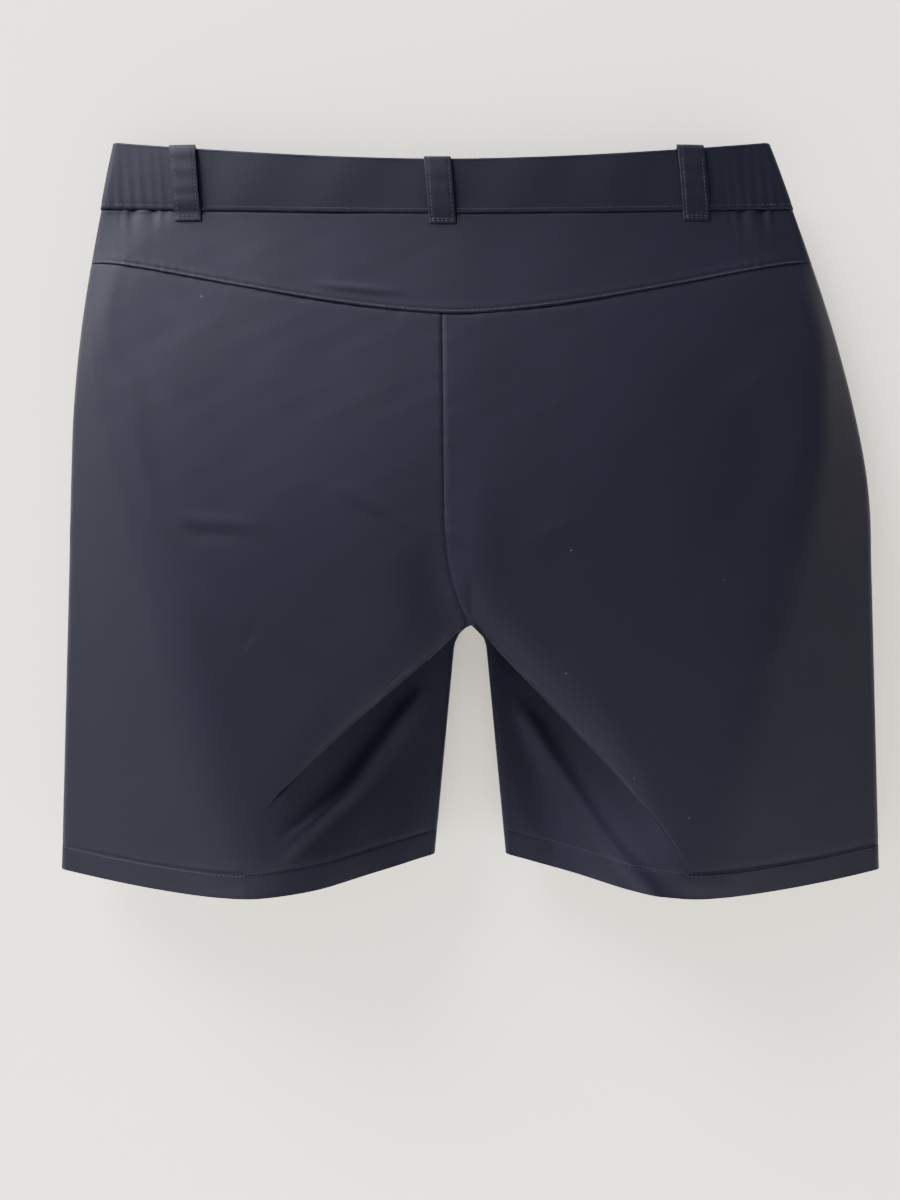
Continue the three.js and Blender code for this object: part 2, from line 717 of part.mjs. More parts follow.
// A round part of the snap, from a profile of radius and depth.
function turned(profile, atY) {
  const points = profile.map(([r, y]) => new THREE.Vector2(r, y));
  const solid = new THREE.LatheGeometry(points, 20);
  return welded(solid, (x, y, z) => [centreX(snapZ + z) + snapX + x, atY + y, snapZ + z]);
}
const capInner = tabFace - gap;
const socketOuter = tabFace + tabThickness + gap;
add('snap_cap', turned([
  [0, -snapCapThickness],
  [snapRadius - 1, -snapCapThickness],
  [snapRadius, -snapCapThickness / 2],
  [snapRadius, 0],
  [0, 0],
], capInner), 'metal');
const socketDepth = bandFace - gap - socketOuter - 0.6;
add('snap_socket', turned([
  [snapPostRadius + snapClearance, 0],
  [snapSocketRadius, 0],
  [snapSocketRadius, socketDepth],
  [snapPostRadius + snapClearance, socketDepth],
  [snapPostRadius + snapClearance, 0],
], socketOuter), 'metal');
add('snap_stud', turned([
  [0, -1.9],
  [snapPostRadius, -1.9],
  [snapPostRadius, -0.4],
  [snapSocketRadius, -0.4],
  [snapSocketRadius, 0],
  [0, 0],
], bandFace - gap), 'metal');

// ---- labels sewn inside the back waistband ----
const labelInside = bandLayers.facing[1] - 2 * gap;
function hangingLabel(width, height, x, topZ) {
  const point = (u, v) => {
    const px = x + width * (u - 0.5);
    const z = topZ - height * v;
    return new THREE.Vector3(px, backY(px, topZ) + labelInside - 0.12 * height * v, z);
  };
  return clothSolid(point, 1, even(2), even(3), 0, -labelThickness);
}
add('size_label', hangingLabel(sizeLabelWidth, sizeLabelHeight, waistLean + 34, -2), 'label');
add('care_label', hangingLabel(careLabelWidth, careLabelHeight, waistLean - 40, -16), 'label');

export default shorts;
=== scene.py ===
"""Woven stretch outdoor shorts hanging from their waistband.

The cloth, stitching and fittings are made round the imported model, in metres,
+Z up, +Y out of the wearer's back, +X to the wearer's left.
"""

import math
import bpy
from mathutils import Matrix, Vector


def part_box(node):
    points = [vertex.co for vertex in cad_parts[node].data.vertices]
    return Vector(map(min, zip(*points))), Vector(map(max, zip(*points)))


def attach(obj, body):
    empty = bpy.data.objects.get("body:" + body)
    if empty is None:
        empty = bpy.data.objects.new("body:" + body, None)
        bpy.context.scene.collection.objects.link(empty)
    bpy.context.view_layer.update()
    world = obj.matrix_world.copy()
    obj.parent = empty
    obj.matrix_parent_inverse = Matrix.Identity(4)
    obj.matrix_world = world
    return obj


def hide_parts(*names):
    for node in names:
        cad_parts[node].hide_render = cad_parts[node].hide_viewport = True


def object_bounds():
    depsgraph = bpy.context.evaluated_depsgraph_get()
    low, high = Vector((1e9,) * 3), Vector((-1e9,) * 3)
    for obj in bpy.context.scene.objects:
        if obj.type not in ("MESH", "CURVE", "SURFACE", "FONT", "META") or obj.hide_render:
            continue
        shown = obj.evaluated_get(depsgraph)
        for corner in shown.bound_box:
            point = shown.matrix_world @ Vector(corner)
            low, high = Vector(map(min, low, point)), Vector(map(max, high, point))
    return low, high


bl_info = {
    "name": "Hanging Outdoor Shorts",
    "version": (1, 0, 0),
    "blender": (4, 5, 0),
    "location": "3D View > Sidebar > Shorts",
    "description": "Builds a pair of woven stretch shorts, piece by piece",
    "category": "Add Mesh",
}

import bmesh
import bpy
import numpy as np
from mathutils import Matrix, Vector

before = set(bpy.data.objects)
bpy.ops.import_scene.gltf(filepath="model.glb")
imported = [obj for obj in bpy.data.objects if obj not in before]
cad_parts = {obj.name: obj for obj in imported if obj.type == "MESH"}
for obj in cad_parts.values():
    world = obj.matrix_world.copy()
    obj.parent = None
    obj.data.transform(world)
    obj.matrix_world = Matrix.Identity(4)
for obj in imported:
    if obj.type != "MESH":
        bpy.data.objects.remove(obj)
CAD_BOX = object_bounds()

MM = 0.001
SIDES = {"left": 1, "right": -1}

SIDE_BAND_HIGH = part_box("waistband_side_left")[1]
BACK_BAND_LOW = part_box("waistband_back")[0]
YOKE_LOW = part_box("back_yoke")[0]
PLACKET_LOW, PLACKET_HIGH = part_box("fly_placket")
TAB_LOW, TAB_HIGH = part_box("waistband_tab")

# rounds in which a point's height and its place across, which depend on each other, settle
PANEL_ROUNDS = 16
POCKET_ROUNDS = 12
BAND_ROUNDS = 8


# Each cloth piece as it was cut: width and length in mm, and the share of that rectangle it fills.
# Widths and lengths follow the garment's flat measures and a usual pattern. The shares are estimates that
# were set after the finished surfaces had been measured.
CUTS = {
    "back_panel": (310, 400, 0.80),
    "front_panel": (255, 425, 0.86),
    "back_yoke": (455, 70, 0.80),
    "waistband_back": (320, 44, 1.0),
    "waistband_front_left": (100, 44, 1.0),
    "waistband_front_right": (126, 44, 1.0),
    "waistband_side": (148, 50, 0.95),
    "waistband_facing_back": (320, 33, 1.0),
    "waistband_facing_front_left": (100, 33, 1.0),
    "waistband_facing_front_right": (126, 33, 1.0),
    "waistband_facing_side": (144, 40, 0.95),
    "waist_elastic": (140, 36, 0.95),
    "belt_loop": (17, 60, 1.0),
    "hem_facing": (240, 18, 1.0),
    "pocket_facing": (130, 150, 0.95),
    "pocket_bag": (155, 178, 0.92),
    "fly_placket": (28, 122, 1.0),
    "fly_shield": (42, 130, 1.0),
    "waistband_tab": (38, 35, 0.92),
    "size_label": (32, 16, 1.0),
    "care_label": (30, 55, 1.0),
}


class ShortsSizes(bpy.types.PropertyGroup):
    """Sizes of the garment as it hangs."""

    waist_half_width: bpy.props.FloatProperty(
        name="Waist Half Width",
        description="Half the width of the waistband's top edge, laid flat",
        default=208 * MM,
        unit="LENGTH",
    )
    hip_half_width: bpy.props.FloatProperty(
        name="Hip Half Width",
        description="Half the width across the hips, laid flat",
        default=255 * MM,
        unit="LENGTH",
    )
    hem_half_width: bpy.props.FloatProperty(
        name="Hem Half Width",
        description="Half the distance between the outer ends of the hems",
        default=260 * MM,
        unit="LENGTH",
    )
    side_top: bpy.props.FloatProperty(
        name="Side Top",
        description="Height of the waistband's top edge at the sides",
        default=SIDE_BAND_HIGH.z,
        unit="LENGTH",
    )
    side_hem: bpy.props.FloatProperty(
        name="Side Hem",
        description="Height of the hem at the side seams",
        default=-434 * MM,
        unit="LENGTH",
    )
    crotch: bpy.props.FloatProperty(
        name="Crotch",
        description="Height of the crotch point",
        default=-281 * MM,
        unit="LENGTH",
    )
    seat_depth: bpy.props.FloatProperty(
        name="Seat Depth",
        description="How far the seat stands out at the centre back seam",
        default=43 * MM,
        unit="LENGTH",
    )
    crest_depth: bpy.props.FloatProperty(
        name="Crest Depth",
        description="How far the back of each leg stands out at the hem",
        default=47 * MM,
        unit="LENGTH",
    )
    front_depth: bpy.props.FloatProperty(
        name="Front Depth",
        description="How far the front of the legs stands out",
        default=20 * MM,
        unit="LENGTH",
    )
    lip_radius: bpy.props.FloatProperty(
        name="Fold Radius",
        description="Radius of the diagonal folds under the seat",
        default=8.5 * MM,
        unit="LENGTH",
    )
    hem_allowance: bpy.props.FloatProperty(
        name="Hem Allowance",
        description="Height of the turned-up hem",
        default=17 * MM,
        unit="LENGTH",
    )
    cloth: bpy.props.FloatProperty(
        name="Cloth Thickness",
        description="Thickness of one layer of the shell cloth",
        default=0.6 * MM,
        unit="LENGTH",
    )
    stitch_length: bpy.props.FloatProperty(
        name="Stitch Length",
        description="Length of one topstitch and its gap",
        default=2.7 * MM,
        unit="LENGTH",
    )


class ShortsColours(bpy.types.PropertyGroup):
    """Colours of the cloth, thread and fittings."""

    shell: bpy.props.FloatVectorProperty(
        name="Shell Cloth",
        description="Colour of the shell cloth",
        default=(0.0030, 0.0030, 0.0074),
        size=3,
        subtype="COLOR",
    )
    # the colour painted deep between the shell cloth's threads: painted shade in the weave's hollows, darker
    # than the thread itself
    shell_painted_shade: bpy.props.FloatVectorProperty(
        name="Shell Painted Shade",
        description="Colour deep between the threads of the shell cloth",
        default=(0.0017, 0.0017, 0.0046),
        size=3,
        subtype="COLOR",
    )
    lining: bpy.props.FloatVectorProperty(
        name="Lining",
        description="Colour of the facings and pocket bags",
        default=(0.0034, 0.0034, 0.0075),
        size=3,
        subtype="COLOR",
    )
    thread: bpy.props.FloatVectorProperty(
        name="Thread",
        description="Colour of the topstitching",
        default=(0.0060, 0.0060, 0.0130),
        size=3,
        subtype="COLOR",
    )
    metal: bpy.props.FloatVectorProperty(
        name="Metal",
        description="Colour of the snap and the zip slider",
        default=(0.028, 0.028, 0.033),
        size=3,
        subtype="COLOR",
    )
    label: bpy.props.FloatVectorProperty(
        name="Label",
        description="Colour of the blank labels",
        default=(0.62, 0.62, 0.60),
        size=3,
        subtype="COLOR",
    )
    wall: bpy.props.FloatVectorProperty(
        name="Wall",
        description="Colour of the wall and the floor",
        default=(0.93, 0.905, 0.84),
        size=3,
        subtype="COLOR",
    )


# ---- small helpers on arrays ----


def clamp01(t):
    return np.clip(t, 0.0, 1.0)


def mix(a, b, t):
    return a + (b - a) * t


def ease(t):
    t = clamp01(t)
    return t * t * (3 - 2 * t)


def quarter_round(t):
    return np.sqrt(np.maximum(0.0, 1 - (1 - clamp01(t)) ** 2))


def smooth_min(a, b, k):
    h = clamp01(0.5 + (b - a) / (2 * k))
    return mix(b, a, h) - k * h * (1 - h)


def smooth_max(a, b, k):
    return -smooth_min(-a, -b, k)


def bump(distance, width):
    return np.exp(-((distance / width) ** 2))


def segment_distance(x, z, start, end):
    """Distance of points from a straight stretch, and how far along it they are."""
    sx, sz = start
    dx, dz = end[0] - sx, end[1] - sz
    along = clamp01(((x - sx) * dx + (z - sz) * dz) / (dx * dx + dz * dz))
    return np.hypot(x - sx - along * dx, z - sz - along * dz), along


# ---- the shape of the hanging garment ----


class Hang:
    """Where the cloth hangs: widths, seams and depths, from the sizes and the frame."""

    lean_top = 5 * MM
    lean_body = -13.5 * MM
    lean_drop = 220 * MM
    hip_drop = 260 * MM
    band_height = 35 * MM
    back_top_centre = BACK_BAND_LOW.z + band_height
    front_top_centre = 1 * MM
    side_band_height = 44 * MM
    yoke_seam_centre = YOKE_LOW.z
    yoke_seam_side = -51 * MM
    crest_hem_drop = 10 * MM
    inner_hem_rise = 15 * MM
    crest_offset = 137 * MM
    ridge_offset_hem = 122 * MM
    side_fold = 4.5 * MM
    inner_fold = 4 * MM
    grip_depth = 6 * MM
    waist_depth_back = 11 * MM
    waist_depth_front = 14 * MM
    back_loop = 160 * MM
    front_loop = 100 * MM
    front_join = 120 * MM
    placket_hinge = 20 * MM
    front_left_end = placket_hinge + 0.4 * MM
    front_right_end = 6 * MM
    fold_slopes = {1: 0.86, -1: 1.05}
    mid_gap = 0.2 * MM

    def __init__(self):
        self.size = bpy.context.scene.shorts_sizes
        self.crotch = self.size.crotch
        self.side_top = self.size.side_top

    # widths and lean

    def centre_x(self, z):
        fall = (self.side_top - z) / self.lean_drop
        return mix(self.lean_top, self.lean_body, np.maximum(0, smooth_min(fall, 1.0, 0.12)))

    def half_width(self, z):
        size = self.size
        to_hip = clamp01((self.side_top - z) / self.hip_drop)
        hip_z = self.side_top - self.hip_drop
        to_hem = clamp01((hip_z - z) / (hip_z - size.side_hem))
        upper = mix(size.waist_half_width, size.hip_half_width, np.sin(np.pi / 2 * to_hip))
        return upper + (size.hem_half_width - size.hip_half_width) * to_hem

    # edges and seams by the offset from the centre line

    def side_bend(self, offset):
        return clamp01(offset / self.half_width(0.0)) ** 1.8

    def top(self, out, offset):
        centre = self.back_top_centre if out > 0 else self.front_top_centre
        return mix(centre, self.side_top, self.side_bend(offset))

    def band_seam(self, out, offset):
        centre = self.back_top_centre if out > 0 else self.front_top_centre
        side = self.side_top - self.side_band_height
        return mix(centre - self.band_height, side, self.side_bend(offset))

    def yoke_seam(self, offset):
        reach = clamp01(offset / self.half_width(self.yoke_seam_side))
        drop = (1 - reach**1.6) ** 1.3
        return mix(self.yoke_seam_side, self.yoke_seam_centre, drop)

    def hem(self, offset):
        crest = self.crest_offset
        inner = clamp01((crest - offset) / crest)
        outer = clamp01((offset - crest) / (self.size.hem_half_width - crest))
        rise = (self.inner_hem_rise + self.crest_hem_drop) * inner**1.5
        return self.size.side_hem - self.crest_hem_drop * (1 - outer**1.8) + rise

    def seat_seam_x(self, z):
        swing_from = -200 * MM
        swing = clamp01((swing_from - z) / (swing_from - self.crotch)) ** 2.8
        straight = self.lean_top - 2 * MM * clamp01(-z / (200 * MM))
        return mix(straight, self.centre_x(self.crotch), swing)

    def leg_gap(self, z):
        below = np.maximum(0, self.crotch - z)
        return 9 * MM * quarter_round(below / (14 * MM)) + 13 * MM * below / (140 * MM)

    # depths

    def ridge_offset(self, z):
        growing = self.ridge_offset_hem * (self.yoke_seam_side - z) / (377 * MM)
        return smooth_max(growing, 14 * MM, 6 * MM)

    def ridge_depth(self, z):
        fall = np.sin(np.pi / 2 * clamp01((-z - 20 * MM) / (400 * MM)))
        return mix(self.grip_depth, self.size.crest_depth, fall)

    def centre_depth(self, z):
        fall = np.sin(np.pi / 2 * clamp01((-15 * MM - z) / (245 * MM))) ** 1.25
        return mix(self.waist_depth_back, self.size.seat_depth, fall)

    def fold_z(self, side, offset):
        reach = np.abs(offset) / self.crest_offset
        return self.crotch - self.fold_slopes[side] * np.abs(offset) - 31 * MM * reach**24

    def seat_depth(self, x, z):
        """Depth of the back cloth where it hangs free of the diagonal fold."""
        offset = np.abs(x - self.centre_x(z))
        edge = np.maximum(0, self.half_width(z) - offset)
        ridge = self.ridge_offset(z)
        slope = (self.ridge_depth(z) - self.side_fold) / ridge
        side_plane = self.side_fold * quarter_round(edge / self.side_fold) + slope * edge
        to_ridge = clamp01(offset / (self.half_width(z) - ridge))
        seat = mix(self.centre_depth(z), self.ridge_depth(z), to_ridge**2.0)
        blend = mix(5 * MM, 9 * MM, clamp01(-z / (400 * MM)))
        return self.mid_gap + smooth_min(side_plane, seat, blend)

    def inner_leg_depth(self, offset, z, rise):
        inside = np.maximum(0, offset - self.leg_gap(z))
        rounding = self.inner_fold * quarter_round(inside / self.inner_fold)
        return self.mid_gap + rounding + rise * clamp01(inside / (100 * MM))

    def front_depth(self, x, z):
        """Depth of the front cloth, counted towards the front."""
        offset = np.abs(x - self.centre_x(z))
        edge = np.maximum(0, self.half_width(z) - offset)
        side_plane = self.side_fold * quarter_round(edge / self.side_fold) + 0.1 * edge
        bow = 1 - clamp01(offset / self.back_loop) ** 2
        waist = mix(self.grip_depth, self.waist_depth_front, bow)
        flat = mix(waist, self.size.front_depth, ease((-175 * MM - z) / (100 * MM)))
        full = self.mid_gap + smooth_min(side_plane, flat, 4 * MM)
        tucked = np.minimum(full, self.inner_leg_depth(offset, z, 30 * MM))
        lift = quarter_round(((z - self.crotch + 1.1 * offset) * 0.7) / (20 * MM))
        return mix(tucked, full, lift)

    # folds, creases and puckers laid over the main shape

    def gathers(self, x, z, seam_z):
        """Small pleats under the elastic stretches of the waistband."""
        offset = np.abs(x - self.centre_x(z))
        in_elastic = ease((offset - 168 * MM) / (12 * MM)) * ease((222 * MM - offset) / (8 * MM))
        fall = np.exp(-np.abs(seam_z - z) / (8 * MM))
        turn = 2 * np.pi * offset / (9.5 * MM)
        pleat = np.sin(turn + 1.6 * np.sin(turn * 0.31 + 1.3))
        uneven = 0.65 + 0.35 * np.sin(offset / (6 * MM) + 0.4)
        return 0.85 * MM * in_elastic * fall * pleat * uneven

    # each wave's length in mm, its lean, and its height before it is lessened
    waves = ((62, 0.3, 0.40), (95, -0.8, 0.55), (41, 1.9, 0.20), (150, 0.55, 0.7))

    def soft_waves(self, x, z):
        """Broad, shallow unevenness of hanging cloth."""
        total = 0.0
        for length, lean, height in self.waves:
            phase = 2 * np.pi * (x + lean * z) / (length * MM)
            cross = 2 * np.pi * z / (2.3 * length * MM)
            total = total + 0.38 * height * MM * np.sin(phase + 1.7 * lean) * np.cos(cross + length)
        return total

    # each crease, in mm: its two ends as (offset from the centre line, height), how far it
    # stands out or in, and its width
    creases = (
        ((179, -214), (127, -220), 0.9, 3.2),
        ((172, -223), (136, -226), -0.6, 3.0),
        ((90, -192), (44, -217), 0.8, 4.0),
        ((44, -217), (2, -229), 0.8, 4.0),
        ((70, -206), (24, -226), -0.7, 4.0),
        ((205, -120), (196, -214), 0.45, 6.0),
        ((84, -68), (34, -73), 0.8, 2.6),
        ((-28, -232), (-66, -216), 0.6, 5.0),
        ((-150, -150), (-196, -120), 0.6, 6.0),
        ((-120, -330), (-190, -290), 0.7, 8.0),
        ((110, -300), (168, -262), 0.8, 8.0),
    )

    def crease_height(self, x, z):
        across = x - self.centre_x(z)
        total = 0.0
        for start, end, height, width in self.creases:
            near = (start[0] * MM, start[1] * MM)
            far = (end[0] * MM, end[1] * MM)
            distance, along = segment_distance(across, z, near, far)
            faded = np.sin(np.pi * mix(0.12, 0.88, along))
            total = total + height * MM * bump(distance, width * MM) * faded
        dimple = np.hypot((across - 21 * MM) / (17 * MM), (z + 258 * MM) / (30 * MM))
        raised = np.hypot((across + 6 * MM) / (14 * MM), (z + 238 * MM) / (34 * MM))
        return total - 2.6 * MM * bump(dimple, 1.0) + 1.4 * MM * bump(raised, 1.0)

    def seam_pucker(self, distance, along, pitch, height):
        """A stitched seam: a narrow ditch with small puckers beside it."""
        ripple = np.sin(2 * np.pi * along / pitch) + 0.6 * np.sin(2 * np.pi * along / (pitch * 1.73) + 1)
        return -height * bump(distance, 1.5 * MM) + 0.16 * height * ripple * bump(distance, 7 * MM)


# ---- making cloth from a grid ----


def mesh_from(shape, name):
    mesh = bpy.data.meshes.new(name)
    shape.to_mesh(mesh)
    shape.free()
    return mesh


def new_object(name, mesh):
    obj = bpy.data.objects.new(name, mesh)
    bpy.context.scene.collection.objects.link(obj)
    return obj


def crowd(t, amount):
    """Moves even shares towards both ends, where folds and seams need more rows."""
    return mix(t, (1 - np.cos(np.pi * t)) / 2, amount)


def arc_shares(surface, along_u):
    """Running length along the middle of a surface, for its cloth coordinates."""
    share = np.linspace(0, 1, 200)
    middle = np.full_like(share, 0.5)
    points = np.stack(surface(share, middle) if along_u else surface(middle, share), -1)
    steps = np.linalg.norm(np.diff(points, axis=0), axis=1)
    return share, np.concatenate([[0], np.cumsum(steps)])


def cut_of(name):
    """The cut of the piece whose name starts with the longest matching entry."""
    return CUTS[max((key for key in CUTS if name.startswith(key)), key=len)]


def cloth_piece(name, surface, columns, rows, facing, material, node, body="shorts",
                thickness=None, declare=True, flat_cloth=False):
    """A piece of cloth: a grid laid on surface(u, v), given its thickness inwards."""
    size = bpy.context.scene.shorts_sizes
    thickness = size.cloth if thickness is None else thickness
    shape = bmesh.new()
    bmesh.ops.create_grid(shape, x_segments=columns, y_segments=rows, size=0.5)
    mesh = mesh_from(shape, name)
    flat = np.empty(len(mesh.vertices) * 3)
    mesh.vertices.foreach_get("co", flat)
    u, v = flat[0::3] + 0.5, flat[1::3] + 0.5
    placed = np.stack(surface(u, v), -1)
    mesh.vertices.foreach_set("co", placed.ravel())
    corners = np.empty(len(mesh.loops), dtype=np.int32)
    mesh.loops.foreach_get("vertex_index", corners)
    share_u, length_u = arc_shares(surface, True)
    share_v, length_v = arc_shares(surface, False)
    cloth_uv = np.stack([np.interp(u, share_u, length_u), np.interp(v, share_v, length_v)], -1)
    if flat_cloth:
        cloth_uv = placed[:, [0, 2]]
    layer = mesh.uv_layers.new(name="cloth")
    layer.data.foreach_set("uv", cloth_uv[corners].ravel())
    mesh.update()
    normals = np.empty(len(mesh.polygons) * 3)
    mesh.polygons.foreach_get("normal", normals)
    if (normals.reshape(-1, 3) @ np.array(facing)).sum() < 0:
        mesh.flip_normals()
    mesh.shade_smooth()
    mesh.materials.append(material)
    piece = new_object(name, mesh)
    solid = piece.modifiers.new("cloth", "SOLIDIFY")
    solid.thickness = thickness
    solid.offset = -1
    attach(piece, body)
    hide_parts(node)
    if declare:
        width, length, share = cut_of(name)
        flat = (width * MM, length * MM)
    return piece


def points_and_normals(surface, u, v):
    """Points on a surface and its normals there, which may face either way."""
    step = 1e-3
    here = np.stack(surface(u, v), -1)
    along = np.stack(surface(np.minimum(u + step, 1), v), -1)
    along = along - np.stack(surface(np.maximum(u - step, 0), v), -1)
    down = np.stack(surface(u, np.minimum(v + step, 1)), -1)
    down = down - np.stack(surface(u, np.maximum(v - step, 0)), -1)
    normal = np.cross(along, down)
    normal /= np.linalg.norm(normal, axis=-1)[..., None] + 1e-12
    return here, normal


def stitch_row(name, lines, facing, material, body="shorts", width=0.5 * MM, length=None, lift=0.12 * MM):
    """Rows of topstitches: one small flattened bead for each stitch."""
    size = bpy.context.scene.shorts_sizes
    pitch = size.stitch_length if length is None else length
    shape = bmesh.new()
    for surface, path in lines:
        share = np.linspace(0, 1, 1200)
        u, v = path(share)
        points, normals = points_and_normals(surface, u * np.ones_like(share), v * np.ones_like(share))
        flip = np.sign(normals @ np.array(facing))[:, None]
        normals = normals * np.where(flip == 0, 1, flip)
        run = np.concatenate([[0], np.cumsum(np.linalg.norm(np.diff(points, axis=0), axis=1))])
        count = max(1, int(run[-1] / pitch))
        middles = (np.arange(count) + 0.5) * run[-1] / count
        for middle in middles:
            i = int(np.clip(np.searchsorted(run, middle), 1, len(run) - 2))
            along = Vector(points[i + 1] - points[i - 1]).normalized()
            up = Vector(normals[i]).normalized()
            across = up.cross(along).normalized()
            up = along.cross(across)
            turn = Matrix((along, across, up)).transposed().to_4x4()
            scale = Matrix.Diagonal((pitch * 0.40, width / 2, width * 0.36, 1))
            place = Matrix.Translation(Vector(points[i]) + up * lift)
            bmesh.ops.create_icosphere(shape, subdivisions=1, radius=1, matrix=place @ turn @ scale)
    mesh = mesh_from(shape, name)
    mesh.shade_smooth()
    mesh.materials.append(material)
    piece = new_object(name, mesh)
    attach(piece, body)
    return piece


# ---- shader groups and materials ----


def group(name, inputs, outputs):
    tree = bpy.data.node_groups.new(name, "ShaderNodeTree")
    for label, kind, value in inputs:
        socket = tree.interface.new_socket(label, in_out="INPUT", socket_type=kind)
        if value is not None:
            socket.default_value = value
    for label, kind in outputs:
        tree.interface.new_socket(label, in_out="OUTPUT", socket_type=kind)
    return tree, tree.nodes.new("NodeGroupInput"), tree.nodes.new("NodeGroupOutput")


def math_node(tree, operation, a, b=None, c=None):
    node = tree.nodes.new("ShaderNodeMath")
    node.operation = operation
    for index, value in enumerate((a, b, c)):
        if value is None:
            continue
        if isinstance(value, (int, float)):
            node.inputs[index].default_value = value
        else:
            tree.links.new(value, node.inputs[index])
    return node.outputs[0]


def noise_node(tree, vector, scale, detail=3.0, roughness=0.5):
    node = tree.nodes.new("ShaderNodeTexNoise")
    node.inputs["Scale"].default_value = scale
    node.inputs["Detail"].default_value = detail
    node.inputs["Roughness"].default_value = roughness
    tree.links.new(vector, node.inputs["Vector"])
    return node.outputs["Fac"]


def mix_colours(tree, factor, a, b, blend="MIX"):
    node = tree.nodes.new("ShaderNodeMix")
    node.data_type = "RGBA"
    node.blend_type = blend
    for socket, value in ((node.inputs[0], factor), (node.inputs[6], a), (node.inputs[7], b)):
        if isinstance(value, (int, float, tuple)):
            socket.default_value = value
        else:
            tree.links.new(value, socket)
    return node.outputs[2]


def shade_by(tree, colour, amount):
    """A colour made lighter or darker by a value."""
    grey = tree.nodes.new("ShaderNodeCombineColor")
    for socket in grey.inputs:
        tree.links.new(amount, socket)
    return mix_colours(tree, 1.0, colour, grey.outputs[0], "MULTIPLY")


def thread_ridge(tree, across):
    """The rounded top of one thread after another."""
    return math_node(tree, "SINE", math_node(tree, "MULTIPLY", math_node(tree, "FRACT", across), math.pi))


def weave_group():
    """Plain weave: warp and weft threads that pass over each other in turn. The colour is darker where a
    thread dips under another, which is painted shade between the threads.
    """
    tree, given, made = group(
        "plain_weave",
        [
            ("Cloth", "NodeSocketVector", None),
            ("Thread Pitch", "NodeSocketFloat", 0.0004),
            ("Thread", "NodeSocketColor", (0.03, 0.03, 0.045, 1)),
            # the colour deep between the threads: painted shade, not a second thread colour
            ("Between Shade", "NodeSocketColor", (0.02, 0.02, 0.03, 1)),
            ("Unevenness", "NodeSocketFloat", 0.3),
            ("Roughness", "NodeSocketFloat", 0.75),
        ],
        [
            ("Color", "NodeSocketColor"),
            ("Roughness", "NodeSocketFloat"),
            ("Height", "NodeSocketFloat"),
        ],
    )
    split = tree.nodes.new("ShaderNodeSeparateXYZ")
    tree.links.new(given.outputs["Cloth"], split.inputs[0])
    warp = math_node(tree, "DIVIDE", split.outputs[0], given.outputs["Thread Pitch"])
    weft = math_node(tree, "DIVIDE", split.outputs[1], given.outputs["Thread Pitch"])
    warp_ridge = thread_ridge(tree, warp)
    weft_ridge = thread_ridge(tree, weft)
    cells = math_node(tree, "ADD", math_node(tree, "FLOOR", warp), math_node(tree, "FLOOR", weft))
    over = math_node(tree, "PINGPONG", cells, 1.0)
    warp_up = math_node(tree, "MULTIPLY", warp_ridge, math_node(tree, "MULTIPLY_ADD", weft_ridge, 0.5, 0.5))
    weft_up = math_node(tree, "MULTIPLY", weft_ridge, math_node(tree, "MULTIPLY_ADD", warp_ridge, 0.5, 0.5))
    chosen = tree.nodes.new("ShaderNodeMix")
    tree.links.new(over, chosen.inputs[0])
    tree.links.new(warp_up, chosen.inputs[2])
    tree.links.new(weft_up, chosen.inputs[3])
    height = chosen.outputs[0]
    stretch = tree.nodes.new("ShaderNodeMapping")
    stretch.inputs["Scale"].default_value = (1.0, 0.12, 1.0)
    tree.links.new(given.outputs["Cloth"], stretch.inputs["Vector"])
    slub = noise_node(tree, stretch.outputs[0], 1400, 2.0)
    cloud = noise_node(tree, given.outputs["Cloth"], 26, 4.0, 0.6)
    uneven = math_node(tree, "MULTIPLY", math_node(tree, "SUBTRACT", slub, 0.5), given.outputs["Unevenness"])
    # colour factor: painted shade from the thread height (darker between the threads), plus the slubs' own
    # uneven tone
    shade = math_node(tree, "ADD", math_node(tree, "MULTIPLY_ADD", height, 0.75, 0.25), uneven)
    colour = mix_colours(tree, shade, given.outputs["Between Shade"], given.outputs["Thread"])
    tint = math_node(tree, "MULTIPLY_ADD", cloud, 0.30, 0.85)
    tree.links.new(shade_by(tree, colour, tint), made.inputs["Color"])
    change = math_node(tree, "SUBTRACT", cloud, 0.5)
    rough = math_node(tree, "MULTIPLY_ADD", change, 0.16, given.outputs["Roughness"])
    tree.links.new(rough, made.inputs["Roughness"])
    tree.links.new(math_node(tree, "ADD", height, uneven), made.inputs["Height"])
    return tree


def lint_group():
    """A few pale specks of lint caught on dark cloth."""
    tree, given, made = group(
        "lint",
        [
            ("Cloth", "NodeSocketVector", None),
            ("Color", "NodeSocketColor", (0.03, 0.03, 0.045, 1)),
            ("Lint", "NodeSocketColor", (0.11, 0.11, 0.13, 1)),
            ("Spread", "NodeSocketFloat", 28.0),
            ("Amount", "NodeSocketFloat", 0.016),
        ],
        [("Color", "NodeSocketColor")],
    )
    cell = tree.nodes.new("ShaderNodeTexVoronoi")
    tree.links.new(given.outputs["Cloth"], cell.inputs["Vector"])
    tree.links.new(given.outputs["Spread"], cell.inputs["Scale"])
    speck = math_node(tree, "LESS_THAN", cell.outputs["Distance"], given.outputs["Amount"])
    wisps = noise_node(tree, given.outputs["Cloth"], 1900, 1.0)
    speck = math_node(tree, "MULTIPLY", speck, math_node(tree, "GREATER_THAN", wisps, 0.5))
    colour = mix_colours(tree, speck, given.outputs["Color"], given.outputs["Lint"])
    tree.links.new(colour, made.inputs["Color"])
    return tree


